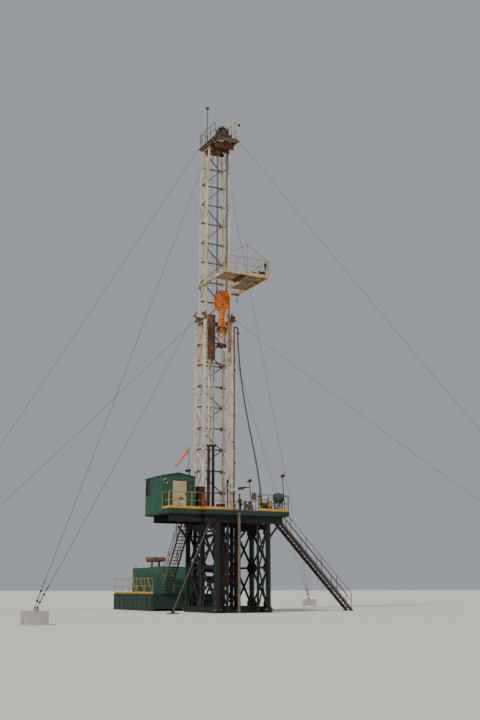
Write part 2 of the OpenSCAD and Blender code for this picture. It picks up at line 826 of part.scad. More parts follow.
crown_y0 = -750;
crown_half = crown_x + 190;
crown_y1 = upper_back + 250;
axle_z = crown_top + 290;
axle_d = 150;
sheave_pitch = sheave_t + 12;
pack_y0 = -sheave_n * sheave_pitch / 2;
fast_y = crown_y1 + 200;
fast_x = 400;
fast_z = crown_top + 60;
fast_d = sheave_d * 0.8;
groove = 32;
run_play = 0.05;
// Base ring, two overhanging beams, deck plates, bearings of the axle and four lugs for guys
module crown_frame() {
    cx = crown_half;
    w = 150;
    beam_x = sheave_d / 2 + 120;
    color("sienna") {
        for (s = [-1, 1]) {
            x = s * (cx - w / 2);
            rolled_beam([x, crown_y0, mast_top + crown_base_h / 2], [x, crown_y1, mast_top + crown_base_h / 2],
                w, crown_base_h);
            rolled_beam([s * beam_x, crown_y0 + 60, crown_deck + crown_beam_h / 2],
                [s * beam_x, crown_y1, crown_deck + crown_beam_h / 2], 140, crown_beam_h);
        }
        for (y = [crown_y0 + w / 2, upper_front, upper_back, crown_y1 - w / 2])
            block([-cx + w, y - w / 2, mast_top], [cx - w, y + w / 2, crown_deck]);
        for (s = [-1, 1]) {
            block([-beam_x - 70, s * (-pack_y0 + 90) - 50, crown_top - 60],
                [beam_x + 70, s * (-pack_y0 + 90) + 50, crown_top + 90]);
            block([-150, s * (-pack_y0 + 90) - 50, crown_top + 80], [150, s * (-pack_y0 + 90) + 50, axle_z + 130]);
        }
        translate([0, 0, axle_z]) rotate([90, 0, 0])
            cylinder(d = axle_d, h = 2 * (90 - pack_y0), center = true, $fn = 40);
        translate([fast_x, fast_y, fast_z]) rotate([0, 90, 0]) cylinder(d = axle_d, h = 150, center = true, $fn = 40);
        for (s = [-1, 1], y = [crown_y0, crown_y1])
            difference() {
                block([min(s * (cx - w / 2), s * (cx + 130)), y == crown_y0 ? y : y - 60, mast_top + 60],
                    [max(s * (cx - w / 2), s * (cx + 130)), y == crown_y0 ? y + 60 : y, mast_top + 220]);
                translate([s * (cx + 70), y, mast_top + 140]) rotate([90, 0, 0])
                    cylinder(d = 60, h = 300, center = true, $fn = 24);
            }
        for (s = [-1, 1]) block([fast_x + s * 75 - 15, crown_y1 - 320, crown_top - 40],
            [fast_x + s * 75 + 15, fast_y + 100, fast_z + 100]);
        block([fast_x - 90, crown_y1 - 320, crown_deck], [fast_x + 90, crown_y1 - 240, crown_top - 30]);
    }
}

// Sheave with a grooved rim, dished web and hub, turning on Y
module sheave(d, t) {
    rotate([90, 0, 0]) rotate_extrude($fn = 96)
        polygon([[axle_d / 2 + run_play, -t / 2], [axle_d / 2 + 60, -t / 2], [axle_d / 2 + 70, -t / 5],
            [d / 2 - 75, -t / 5], [d / 2 - 60, -t / 2], [d / 2, -t / 2], [d / 2 - groove, -t / 8],
            [d / 2 - groove, t / 8], [d / 2, t / 2], [d / 2 - 60, t / 2], [d / 2 - 75, t / 5],
            [axle_d / 2 + 70, t / 5], [axle_d / 2 + 60, t / 2], [axle_d / 2 + run_play, t / 2]]);
}

module crown_sheaves() {
    color("saddlebrown") for (i = [0:sheave_n - 1])
        translate([0, pack_y0 + sheave_pitch * (i + 0.5), axle_z]) sheave(sheave_d, sheave_t);
}

module fast_line_sheave() {
    color("saddlebrown") translate([fast_x, fast_y, fast_z]) rotate(90) sheave(fast_d, sheave_t);
}

module crown_rails() {
    cx = crown_half - 30;
    y0 = crown_y0 + 90;
    y1 = crown_y1 - 30;
    c = 2.2 * rail_d;
    color("dimgray") translate([0, 0, crown_deck]) {
        rail_panel([-cx, y0, 0], [-cx, y1, 0], 3);
        rail_panel([-cx + c, y1, 0], [-300, y1, 0], 1);
        rail_panel([cx, y0, 0], [cx, y1, 0], 3, 1500);
        rod([-crown_x + 200, upper_back - 200, crown_beam_h], [-crown_x + 200, upper_back - 200, 3250], 60);
        block([-crown_x + 80, upper_back - 270, 3150], [-crown_x + 320, upper_back - 130, 3300]);
    }
}

board_t = 40;
board_c = 100;
right_deck_back = 680;
module racking_platform() {
    x0 = -board_left;
    x1 = board_right;
    y0 = -board_front;
    y1 = board_back;
    in = upper_x + upper_leg / 2 + 15;
    low = board_z - board_beam;
    color("burlywood") {
        block([x0, y0, low], [x1, y0 + board_c, board_z]);
        block([x0, y0, low], [-in, y1, board_z]);
        block([x1 - board_c, y0, low], [x1, y1, board_z]);
        block([x0, -opening_front - board_c, low], [x1, -opening_front, board_z]);
        block([x0 + 10, y0 + 10, board_z - board_t], [x1 - 10, -opening_front - 10, board_z]);
        block([in, -opening_front - 10, low], [in + board_c, right_deck_back, board_z]);
        block([in + 10, right_deck_back - board_c, low], [x1, right_deck_back, board_z]);
        block([in + 10, -opening_front - 10, board_z - board_t], [x1 - 10, right_deck_back - 10, board_z]);
        block([in, y1 - board_c, low], [x1, y1, board_z]);
        block([in, upper_back - 100, low], [in + board_c, y1, board_z]);
        block([-in - 20, upper_front - 70, low], [-upper_x - upper_leg / 2, upper_front + 70, board_z]);
        block([-in - 20, upper_back - 70, low], [-upper_x - upper_leg / 2, upper_back + 70, board_z]);
        block([upper_x + upper_leg / 2, upper_front - 70, low], [in + 20, upper_front + 20, board_z]);
        block([upper_x + upper_leg / 2, upper_back - 70, low], [in + 20, upper_back + 70, board_z]);
    }
}

module racking_rails() {
    x0 = -board_left + rail_in;
    x1 = board_right - rail_in;
    y0 = -board_front + rail_in;
    y1 = board_back - rail_in;
    c = 2.2 * rail_d;
    peak = [(x0 + x1) / 2, y0, 2050];
    color("goldenrod") translate([0, 0, board_z]) {
        rail_panel([x0, y0, 0], [x1, y0, 0], 4);
        for (x = [x0 + 30, x1 - 30]) rod([x, y0, rail_h - 50], peak, rail_d * 0.9);
        rod([peak[0], y0, rail_h - 60], peak, rail_d);
        block(peak - [40, 30, 30], peak + [40, 30, 30]);
        rail_panel([x1, y0 + c, 0], [x1, y1, 0], 4);
        rail_panel([x0, y0 + c, 0], [x0, -opening_front, 0], 2);
    }
}

// Side plate outline of the block: round head, straight cheeks, drawn in foot
module cheek(w, h) {
    intersection() {
        union() {
            translate([0, h - w / 2]) circle(d = w, $fn = 96);
            translate([-w / 2, 500]) square([w, h - w / 2 - 500]);
            polygon([[-w / 2, 500], [w / 2, 500], [220, 0], [-220, 0]]);
        }
        translate([-w, 0]) square([2 * w, h]);
    }
}

cheek_t = 60;
// Two cheeks with the sheave pack on its pin between them, over a solid foot
module travelling_block() {
    axle = block_h - block_w / 2;
    foot = axle - sheave_d / 2 - 60;
    color("darkorange") translate([0, 0, block_z]) difference() {
        union() {
            for (s = [-1, 1]) translate([0, s * (block_d - cheek_t) / 2, 0]) rotate([90, 0, 0])
                linear_extrude(cheek_t, center = true) cheek(block_w, block_h);
            rotate([90, 0, 0]) linear_extrude(block_d - cheek_t, center = true) intersection() {
                cheek(block_w - 60, block_h);
                translate([-block_w, 0]) square([2 * block_w, foot]);
            }
            translate([0, 0, axle]) rotate([90, 0, 0]) cylinder(d = axle_d + 10, h = block_d, center = true, $fn = 40);
            for (i = [0:sheave_n - 1]) translate([0, pack_y0 + sheave_pitch * (i + 0.5), axle])
                sheave(sheave_d, sheave_t);
        }
        translate([0, 0, -10]) cylinder(d = swivel_d + 2 * run_play, h = 330, $fn = 40);
    }
}

hook_h = 1250;
ear_reach = 330;
ear_h = 170;
swivel_d = 180;
// Hook with its shank in the block, barrel, two ears and the curved hook itself
module hook() {
    color("orangered") translate([0, 0, block_z]) {
        translate([0, 0, -260]) cylinder(d = swivel_d, h = 560, $fn = 40);
        translate([0, 0, -420]) cylinder(d = 420, h = 400, $fn = 40);
        translate([0, 0, -700]) cylinder(d = 300, h = 300, $fn = 40);
        intersection() {
            translate([-ear_reach, -70, -800]) cube([2 * ear_reach, 140, ear_h]);
            translate([-ear_reach, 0, -800 + ear_h - 150]) rotate([0, 90, 0])
                cylinder(r = 150, h = 2 * ear_reach, $fn = 64);
        }
        rotate([90, 0, 0]) translate([0, -hook_h + 130, 0]) linear_extrude(130, center = true) difference() {
            union() {
                circle(d = 480, $fn = 64);
                translate([-120, 0]) square([240, 420]);
            }
            circle(d = 250, $fn = 64);
            translate([-300, -20]) square([220, 150]);
        }
    }
}

ear_top = block_z - 800 + ear_h;
link_x = 290;
link_d = 60;
eye_r = 160;
low_eye_r = 80;
low_eye_z = ear_top - link_l;
// Ring of a link round an ear, in the upright plane across X
module link_eye(z, r) {
    translate([0, 0, z]) rotate([0, 90, 0]) difference() {
        cylinder(r = r + link_d, h = link_d, center = true, $fn = 48);
        cylinder(r = r, h = link_d + 2, center = true, $fn = 48);
    }
}

// Pair of links hung from the hook's ears, and the elevator that they carry
module elevator_links() {
    color("dimgray") {
        for (s = [-1, 1]) translate([s * link_x, 0, 0]) {
            link_eye(ear_top + seat - eye_r, eye_r);
            link_eye(low_eye_z, low_eye_r);
            rod([0, 0, ear_top - 2 * eye_r - link_d / 2], [0, 0, low_eye_z + low_eye_r + link_d / 2], link_d - 8, 24);
        }
        difference() {
            union() {
                translate([0, 0, low_eye_z - 150]) cylinder(d = 460, h = 240, $fn = 48);
                block([-link_x - 60, -50, low_eye_z - 62], [link_x + 60, 50, low_eye_z + 38]);
            }
            translate([0, 0, low_eye_z - 200]) cylinder(d = 200, h = 400, $fn = 48);
        }
    }
}

fall_x = sheave_d / 2 - groove + line_d / 2 + seat;
block_sheave_z = block_z + block_h - block_w / 2;
// Falls between the crown sheaves and the block, one on each side of a sheave
module drilling_lines() {
    color("dimgray") for (s = [-1, 1], i = [0:sheave_n - 1])
        translate([s * fall_x, pack_y0 + sheave_pitch * (i + 0.5), block_sheave_z])
            cylinder(d = line_d, h = axle_z - block_sheave_z, $fn = 12);
}

// Line that leaves the sheave at the back of the crown at a tangent, down to the drum
module fast_line() {
    r = fast_d / 2 - groove + line_d / 2 + seat;
    drum = [fast_x, skid_front + 1500, deck_z + house_h * 0.6];
    away = [drum[1] - fast_y, drum[2] - fast_z];
    turn = atan2(away[1], away[0]) + acos(r / norm(away));
    start = [fast_x, fast_y + r * cos(turn), fast_z + r * sin(turn)];
    color("dimgray") {
        rod(start, drum, line_d, 12);
        translate([fast_x, fast_y, fast_z]) rotate([90, 0, 90]) rotate([0, 0, turn])
            rotate_extrude(angle = 80, $fn = 96) translate([r, 0]) circle(d = line_d, $fn = 24);
    }
}

pipe_d = 115;
pipe_x = mast_x + leg_w / 2 + pipe_d / 2 + 25;
pipe_top = lower_top - 500;
neck_r = 160;
// Standpipe up the right front leg, its gooseneck and its clamps
module standpipe() {
    y = mast_front;
    color("dimgray") {
        translate([pipe_x, y, floor_z]) cylinder(d = pipe_d, h = pipe_top - floor_z, $fn = 32);
        translate([pipe_x + neck_r, y, pipe_top]) rotate([90, 0, 0]) rotate_extrude(angle = 180, $fn = 64)
            translate([neck_r, 0]) circle(d = pipe_d, $fn = 32);
        translate([pipe_x + 2 * neck_r, y, pipe_top - 200]) cylinder(d = pipe_d, h = 201, $fn = 32);
        translate([pipe_x + 2 * neck_r, y, pipe_top - 330]) cylinder(d = 160, h = 140, $fn = 32);
        for (z = [floor_z + 1500:3200:pipe_top - 500])
            block([mast_x + leg_w / 2, y - 75, z], [pipe_x + 30, y + 75, z + 90]);
        translate([hose_end[0], hose_end[1], floor_z]) {
            cylinder(d = 260, h = 40, $fn = 32);
            cylinder(d = pipe_d, h = hose_end[2] - floor_z - seat, $fn = 32);
            translate([0, 0, hose_end[2] - floor_z - 140]) cylinder(d = 160, h = 140 - seat, $fn = 32);
        }
    }
}

hose_d = 105;
hose_end = [1900, -2300, floor_z + 1150];
hose_start = [pipe_x + 2 * neck_r, mast_front, pipe_top - 330];
// Straight down out of the gooseneck, across to the floor union, and straight down into it
hose_route = [hose_start, hose_start - [0, 0, 400], [1609, 480, 19200], [1614, 425, 18750],
    [1623, 330, 18100], [1634, 200, 17300],
    [1650, 20, 16400], [1670, -190, 15500], [1693, -430, 14600], [1719, -700, 13700], [1748, -985, 12800],
    [1778, -1270, 11950], [1808, -1535, 11150], [1838, -1790, 10350], [1862, -1985, 9650], [1880, -2130, 9050],
    [1892, -2240, 8600], hose_end + [0, 0, 350], hose_end];
module rotary_hose() {
    color("black") tube_along(hose_route, unit([hose_end[1] - hose_start[1], hose_start[0] - hose_end[0], 0]),
        hose_d, 10);
}

eye_h = 120;
inner_eye = 160;
// Guy from the side face of a lug, out along X, down to the top of an anchor eye
module guy(a, s, t, inset = 0) {
    b = [s * (anchor_reach - inset), t * (anchor_reach - inset), anchor_h + eye_h + seat];
    v = b - a;
    path = concat([a], sagged(a + [s * 60, 0, 0], b + [0, 0, 80], guy_sag, 8), [b]);
    tube_along(path, unit([-v[1], v[0], 0]), guy_d, 6);
}

lug_end = crown_half + 130 + seat;
arm_x = mast_x + leg_w / 2 + 30;
left_arm = 750;
right_arm = 180;
module guy_lines() {
    color("gray") for (s = [-1, 1]) {
        guy([s * lug_end, crown_y0 + 30, mast_top + 110], s, -1);
        guy([s * lug_end, crown_y1 - 30, mast_top + 110], s, 1);
        guy([s < 0 ? -arm_x - left_arm - seat : arm_x + right_arm + seat, mast_front, lower_top + 130], s, -1,
            inner_eye);
        guy([s * (arm_x + seat), mast_back, lower_top + 150], s, 1, inner_eye);
    }
}

// Anchor blocks, each with two eye plates and pockets for lifting
module guy_anchors() {
    a = anchor_block / 2;
    color("gray") for (s = [-1, 1], t = [-1, 1]) translate([s * anchor_reach, t * anchor_reach, 0])
        difference() {
            union() {
                block([-a, -a, 0], [a, a, anchor_h]);
                for (q = [0, inner_eye]) translate([-s * q, -t * q, 0])
                    block([-50, -50, anchor_h - 10], [50, 50, anchor_h + eye_h]);
            }
            for (q = [-1, 1]) block([q < 0 ? -a - 1 : a - 200, -120, -1], [q < 0 ? -a + 200 : a + 1, 120, 120]);
        }
}

// Ribbed skid with its deck, behind the floor
module drawworks_skid() {
    x0 = skid_left;
    x1 = skid_left + skid_w;
    y0 = skid_front;
    y1 = skid_front + skid_l;
    color("darkgreen") {
        for (x = [x0, x0 + skid_w / 2 - 100, x1 - 200]) block([x, y0, 0], [x + 200, y1, deck_z - 60]);
        for (i = [0:4]) translate([0, (y1 - y0 - 150) * i / 4, 0])
            block([x0 + 10, y0, 150], [x1 - 10, y0 + 150, deck_z - 60]);
        block([x0, y0, deck_z - 61], [x1, y1, deck_z]);
    }
}

// Housing over the drum and engine, with a sloped front and a slot for the line
module drawworks_house() {
    x0 = house_x;
    w = skid_left + skid_w - 500 - house_x;
    y0 = skid_front + 900;
    l = skid_l - 1300;
    color("seagreen") difference() {
        translate([x0 + w, y0, deck_z]) rotate([90, 0, -90]) linear_extrude(w)
            polygon([[0, 0], [0, house_h * 0.6], [-500, house_h], [-l, house_h], [-l, 0]]);
        block([fast_x - 80, y0 - 10, deck_z + house_h * 0.5], [fast_x + 80, y0 + 1500, deck_z + house_h + 10]);
    }
}

module deck_rails() {
    x0 = skid_left + rail_in;
    x1 = skid_left + skid_w - rail_in;
    y0 = skid_front + rail_in;
    y1 = skid_front + skid_l - rail_in;
    c = 2.2 * rail_d;
    color("gold") translate([0, 0, deck_z]) {
        rail_panel([x0, y0 + c, 0], [x0, y1, 0], 5);
        rail_panel([well_right + 200, y0, 0], [x1, y0, 0], 3);
        rail_panel([x1, y0 + c, 0], [x1, y1, 0], 5);
    }
}

// Flange of a pressure spool
module flange(z, d, h = 110) {
    translate([0, 0, z]) cylinder(d = d, h = h, $fn = 48);
}

// Wellhead, spools, double ram preventer and annular preventer up to the bell nipple
module bop_stack() {
    color("firebrick") difference() {
        union() {
            flange(0, 1000, 60);
            flange(0, 420, beam_top);
            flange(beam_top - 60, 600, 60);
            for (z = [300, 900, 1010, 1700, 1810, 3150, 3260]) flange(z, 700);
            for (z = [1910, 2560]) block([-450, -330, z], [450, 330, z + 560]);
            for (z = [2190, 2840]) translate([0, 0, z]) rotate([0, 90, 0]) {
                cylinder(d = 420, h = 2000, center = true, $fn = 32);
                cylinder(d = 300, h = 2300, center = true, $fn = 32);
            }
            flange(3360, 760, 220);
            flange(3520, 1100, 1000);
            translate([0, 0, 4500]) cylinder(d1 = 1100, d2 = 700, h = 260, $fn = 64);
            translate([0, 0, 1350]) rotate([90, 0, 0]) cylinder(d = 160, h = 1500, center = true, $fn = 32);
            for (s = [-1, 1]) translate([0, s * 620, 1350]) rotate([90, 0, 0])
                cylinder(d = 330, h = 70, center = true, $fn = 32);
        }
        translate([0, 0, 60]) cylinder(d = 340, h = beam_top, $fn = 48);
    }
}

// Pipe that hangs from the floor for a parked joint
module rathole_pipe() {
    x = -500;
    y = -floor_front - 150;
    color("saddlebrown") {
        translate([x, y, 0]) cylinder(d = 190, h = beam_top + 150, $fn = 32);
        translate([x, y, beam_top + 30]) cylinder(d = 250, h = 80, $fn = 32);
        block([x - 120, y, beam_top + 20], [x + 120, -floor_front, beam_top + 120]);
        block([x - 300, y - 250, 0], [x + 300, y + 250, 30]);
    }
}

// Tall cabinet with a row of upright tubes on its front
module tool_cabinet() {
    x = -2350;
    y = -1200;
    color("darkred") translate([x, y, floor_z]) {
        cube([540, 420, 1650]);
        for (i = [0:3]) translate([70 + i * 133, -45, 0]) cylinder(d = 90, h = 1150, $fn = 24);
    }
}

// Winch drum in its frame with the motor on one end
module air_winch() {
    x = 1600;
    y = -3050;
    color("gold") translate([x, y, floor_z]) {
        cube([900, 520, 60]);
        for (dx = [40, 620]) translate([dx, 20, 0]) rotate([90, 0, 90]) linear_extrude(40)
            polygon([[0, 0], [480, 0], [420, 680], [240, 840], [60, 680]]);
        translate([40, 260, 430]) rotate([0, 90, 0]) cylinder(d = 340, h = 620, $fn = 32);
        translate([620, 260, 430]) rotate([0, 90, 0]) cylinder(d = 460, h = 260, $fn = 32);
        translate([40, 200, 770]) cube([620, 120, 70]);
    }
}

// Lamp head on a post with a round foot; the head looks along -Y and a little down
module lamp(p, h, lean = [0, 0, 0]) {
    top = p + [0, 0, h] + lean;
    translate(p) cylinder(d = 140, h = 50, $fn = 24);
    rod(p + [0, 0, 30], top, 55);
    translate(top) rotate([25, 0, 0]) translate([-150, -130, -90]) cube([300, 170, 220]);
}

module floodlights() {
    color("goldenrod") translate([0, 0, floor_z]) {
        lamp([gate_right + 80, -floor_front + 1050, 0], 2100, [-220, 0, 0]);
        lamp([floor_right - 250, -floor_front + 135, 0], 2450, [-200, 0, 0]);
        lamp([dog_left + 200, -porch_front + 210, 0], 1750, [-380, 0, 0]);
    }
}

pole_x = dog_right - 150;
pole_y = -1300;
pole_foot = 120;
pole_z = wall_top + roof_t + roof_rise * (dog_right - pole_x + pole_foot / 2) / (dog_w / 2) + seat;
pole_h = 2100;
pole_d = 40;
module windsock_pole() {
    color("gray") translate([pole_x, pole_y, pole_z]) {
        cylinder(d = pole_d, h = pole_h - 230, $fn = 24);
        translate([0, 0, pole_h - 231]) cylinder(d = pole_d - 14, h = 231, $fn = 24);
        cylinder(d = pole_foot, h = 30, $fn = 24);
    }
}

sock_l = 1300;
sock_mouth = 300;
sock_tail = 160;
sock_droop = 52;
// Sleeve that turns on the pole, the mouth ring's arm, and the cloth cone
module windsock() {
    sleeve = pole_z + pole_h - 230 + seat;
    color("orange") {
        translate([pole_x, pole_y, sleeve]) difference() {
            cylinder(d = 52, h = 200, $fn = 24);
            translate([0, 0, -1]) cylinder(d = pole_d - 14 + 2 * run_play, h = 202, $fn = 24);
        }
        translate([pole_x, pole_y, sleeve + 100]) rotate([0, -90 - sock_droop, 0]) {
            translate([0, 0, 36]) cylinder(d = 20, h = 222, $fn = 24);
            translate([0, 0, 252]) cylinder(d = sock_mouth + 12, h = 30, $fn = 32);
            translate([0, 0, 281]) cylinder(d1 = sock_mouth, d2 = sock_tail, h = sock_l, $fn = 32);
        }
    }
}

side_frame_left();
side_frame_right();
cross_bracing();
mast_pedestals();
diagonal_prop();
floor_beams();
floor_joists();
floor_edge_beams();
drill_floor();
rotary_table();
toe_boards();
floor_rails();
porch_deck();
porch_rails();
doghouse_base();
doghouse_left_wall();
doghouse_right_wall();
doghouse_back_wall();
doghouse_front_walls();
doghouse_lintel();
doghouse_roof();
doghouse_door();
doghouse_windows();
stair_left();
stair_right();
stair_treads();
mast_lower_left();
mast_lower_right();
mast_lower_back();
mast_upper_left();
mast_upper_right();
mast_upper_back();
mast_guides();
mast_ladder();
raising_cylinders();
crown_frame();
crown_rails();
crown_sheaves();
fast_line_sheave();
racking_platform();
racking_rails();
travelling_block();
hook();
elevator_links();
drilling_lines();
fast_line();
standpipe();
rotary_hose();
guy_lines();
guy_anchors();
drawworks_skid();
drawworks_house();
deck_rails();
bop_stack();
rathole_pipe();
tool_cabinet();
air_winch();
floodlights();
windsock_pole();
windsock();
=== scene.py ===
# %% [markdown]
# # Oil drilling rig
#
# A land drilling rig stands on its own legs over a well. A tall mast hangs the block and hook over the
# floor, and eight guy cables hold the mast to the ground. The steel frame comes ready made, in metres, with
# its origin at the well on the ground. Here it gets its paint, rust and ropes, and the small pieces that a
# solid model leaves out. We load the frame first.

import json
import math
from itertools import product

import bpy
from mathutils import Matrix, Vector


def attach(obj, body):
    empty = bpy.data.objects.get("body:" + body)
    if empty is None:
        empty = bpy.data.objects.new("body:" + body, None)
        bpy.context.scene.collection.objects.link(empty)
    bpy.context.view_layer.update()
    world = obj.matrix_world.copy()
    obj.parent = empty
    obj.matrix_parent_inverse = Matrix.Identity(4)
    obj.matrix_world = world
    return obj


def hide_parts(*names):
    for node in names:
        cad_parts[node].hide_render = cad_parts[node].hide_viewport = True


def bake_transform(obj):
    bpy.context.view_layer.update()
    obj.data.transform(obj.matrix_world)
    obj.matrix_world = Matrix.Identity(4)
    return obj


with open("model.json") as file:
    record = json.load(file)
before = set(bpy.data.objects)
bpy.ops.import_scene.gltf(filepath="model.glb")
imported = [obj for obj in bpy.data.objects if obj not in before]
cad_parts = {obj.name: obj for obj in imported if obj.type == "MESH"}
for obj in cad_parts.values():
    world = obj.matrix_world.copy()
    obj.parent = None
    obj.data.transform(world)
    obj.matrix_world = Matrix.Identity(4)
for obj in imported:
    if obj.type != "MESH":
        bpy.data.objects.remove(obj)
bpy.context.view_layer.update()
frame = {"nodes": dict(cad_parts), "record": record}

# %% [markdown]
# ## Camera
#
# The rig is seen from far off and from low down, at the height of a standing viewer's eyes. We could turn
# the camera until it looks right, but its place, pitch and heading are known from the heights of the rails
# and the mast. So we give them as numbers, and nothing has to be guessed again.

# %% Place the camera
EYE = (-31.81, -63.49, 1.6)
PITCH_UP = 12.8
HEADING = -27.7
camera_data = bpy.data.cameras.new("long_lens")
camera_data.lens = 50.18
camera_data.clip_end = 2000
camera = bpy.data.objects.new("long_lens", camera_data)
bpy.context.collection.objects.link(camera)
camera.location = EYE
camera.rotation_euler = (math.radians(90 + PITCH_UP), 0, math.radians(HEADING))
bpy.context.scene.camera = camera
print("camera is", round(camera.location.xy.length, 1), "m from the well")

# %% [markdown]
# ## Finishes
#
# Nearly everything on a rig is painted steel that has stood outside for years. Its colour drifts over
# metres, rust runs down from joints, and the paint has chips. One helper can build all of these from noise,
# and each paint only needs its own colours and amounts. The noise reads object coordinates, which are real
# metres here, so a chip is as large on the mast as on a lamp.

# %% Helpers for finishes
finish_of = {}


def start_finish(slot):
    """A new material: its node tree, its shader, and the place on the piece in metres."""
    material = bpy.data.materials.new(slot)
    material.use_nodes = True
    finish_of[slot] = material
    tree = material.node_tree
    return tree, tree.nodes["Principled BSDF"], tree.nodes.new("ShaderNodeTexCoord").outputs["Object"]


def lumps(tree, place, size, detail, squash=1):
    """A noise pattern of so many lumps a metre, drawn out upwards where squash is below 1."""
    mapping = tree.nodes.new("ShaderNodeMapping")
    mapping.inputs["Scale"].default_value = (1, 1, squash)
    tree.links.new(place, mapping.inputs["Vector"])
    noise = tree.nodes.new("ShaderNodeTexNoise")
    noise.inputs["Scale"].default_value = size
    noise.inputs["Detail"].default_value = detail
    noise.inputs["Roughness"].default_value = 0.65
    tree.links.new(mapping.outputs["Vector"], noise.inputs["Vector"])
    return noise.outputs["Fac"]


def mask(tree, value, low, high):
    """Turns a value into a mask: 0 below low, 1 above high."""
    fade = tree.nodes.new("ShaderNodeMapRange")
    fade.interpolation_type = "SMOOTHSTEP"
    fade.inputs["From Min"].default_value = low
    fade.inputs["From Max"].default_value = high
    tree.links.new(value, fade.inputs["Value"])
    return fade.outputs["Result"]


def mixed(tree, share, first, second):
    """Blends two colours by a mask. Each is a colour or another node's output."""
    mix = tree.nodes.new("ShaderNodeMix")
    mix.data_type = "RGBA"
    tree.links.new(share, mix.inputs["Factor"])
    for name, colour in (("A", first), ("B", second)):
        socket = [s for s in mix.inputs if s.name == name and s.type == "RGBA"][0]
        if isinstance(colour, tuple):
            socket.default_value = (*colour, 1)
        else:
            tree.links.new(colour, socket)
    return [s for s in mix.outputs if s.type == "RGBA"][0]


def relief(tree, shader, height, strength, distance):
    """Turns a height into bumps that are so many metres deep."""
    bump = tree.nodes.new("ShaderNodeBump")
    bump.inputs["Strength"].default_value = strength
    bump.inputs["Distance"].default_value = distance
    tree.links.new(height, bump.inputs["Height"])
    tree.links.new(bump.outputs["Normal"], shader.inputs["Normal"])


def weathered(slot, colour, stain, rust, runs=0.62, chips=0.66, chip_size=7.0, rough=0.6, metal=0.0,
              bump=0.25):
    """Paint whose colour drifts to a stain, with rust runs and chips. Low runs or chips mean more of them."""
    tree, shader, place = start_finish(slot)
    broad = mask(tree, lumps(tree, place, 0.9, 5), 0.35, 0.72)
    running = mask(tree, lumps(tree, place, 5, 6, 0.12), runs, runs + 0.14)
    chipped = mask(tree, lumps(tree, place, chip_size, 9), chips, chips + 0.05)
    base = mixed(tree, broad, colour, stain)
    streaked = mixed(tree, running, base, tuple((a + b) / 2 for a, b in zip(stain, rust)))
    tree.links.new(mixed(tree, chipped, streaked, rust), shader.inputs["Base Color"])
    dull = tree.nodes.new("ShaderNodeMapRange")
    dull.inputs["To Min"].default_value = rough
    dull.inputs["To Max"].default_value = min(1.0, rough + 0.25)
    tree.links.new(chipped, dull.inputs["Value"])
    tree.links.new(dull.outputs["Result"], shader.inputs["Roughness"])
    shader.inputs["Metallic"].default_value = metal
    shader.inputs["Specular IOR Level"].default_value = 0.3
    lift = tree.nodes.new("ShaderNodeMath")
    lift.operation = "SUBTRACT"
    tree.links.new(lumps(tree, place, 60, 6), lift.inputs[0])
    tree.links.new(chipped, lift.inputs[1])
    relief(tree, shader, lift.outputs["Value"], bump, 0.004)


# %% Mix the paints
weathered("dark_green_paint", (0.006, 0.011, 0.008), (0.011, 0.009, 0.007), (0.035, 0.019, 0.012), chips=0.62)
weathered("green_paint", (0.009, 0.034, 0.023), (0.014, 0.022, 0.016), (0.06, 0.032, 0.018), chips=0.62)
weathered("wall_green", (0.016, 0.074, 0.042), (0.015, 0.05, 0.031), (0.07, 0.05, 0.03), chips=0.71,
          bump=0.12)
weathered("yellow_paint", (0.50, 0.28, 0.016), (0.34, 0.18, 0.022), (0.15, 0.06, 0.022), chips=0.58)
weathered("deck_steel", (0.13, 0.105, 0.08), (0.07, 0.055, 0.042), (0.10, 0.05, 0.028), metal=0.4, rough=0.5)
weathered("door_tan", (0.40, 0.30, 0.17), (0.31, 0.23, 0.13), (0.16, 0.09, 0.045), chips=0.7)
weathered("stair_steel", (0.055, 0.035, 0.026), (0.032, 0.022, 0.017), (0.12, 0.05, 0.03), chips=0.58)
weathered("mast_cream", (0.56, 0.465, 0.31), (0.42, 0.295, 0.165), (0.19, 0.083, 0.034), runs=0.54,
          chips=0.585, chip_size=4.5)
weathered("rusty_steel", (0.12, 0.058, 0.032), (0.065, 0.035, 0.022), (0.19, 0.085, 0.035), chips=0.55,
          rough=0.75)
weathered("dark_steel", (0.03, 0.027, 0.024), (0.05, 0.04, 0.032), (0.09, 0.045, 0.025), metal=0.5, rough=0.5)
weathered("block_orange", (0.58, 0.145, 0.012), (0.42, 0.10, 0.014), (0.09, 0.035, 0.015), chips=0.62)
weathered("valve_red", (0.11, 0.010, 0.008), (0.07, 0.010, 0.008), (0.05, 0.022, 0.014), chips=0.62)
weathered("concrete", (0.40, 0.37, 0.32), (0.30, 0.27, 0.23), (0.20, 0.17, 0.14), chips=0.58, chip_size=12,
          rough=0.85, bump=0.6)
weathered("board_tan", (0.47, 0.36, 0.225), (0.33, 0.225, 0.12), (0.13, 0.062, 0.03), runs=0.52, chips=0.58)
# a darker brown for the back lattices of the mast, which is painted shade
weathered("shaded_lattice_brown", (0.17, 0.125, 0.085), (0.11, 0.078, 0.052), (0.13, 0.06, 0.03), chips=0.58)
weathered("rail_brown", (0.13, 0.082, 0.04), (0.07, 0.044, 0.028), (0.30, 0.17, 0.03), chips=0.6)
weathered("rail_olive", (0.34, 0.225, 0.035), (0.19, 0.125, 0.035), (0.13, 0.055, 0.025), chips=0.57)
weathered("rail_salmon", (0.36, 0.17, 0.095), (0.23, 0.105, 0.06), (0.12, 0.05, 0.03), chips=0.6)
weathered("stack_red", (0.055, 0.010, 0.008), (0.035, 0.011, 0.009), (0.04, 0.02, 0.014), chips=0.6)
weathered("tube_red", (0.40, 0.055, 0.014), (0.25, 0.04, 0.014), (0.08, 0.03, 0.016), chips=0.6)
weathered("guide_brown", (0.22, 0.135, 0.07), (0.13, 0.075, 0.04), (0.24, 0.14, 0.08), runs=0.52, chips=0.55)
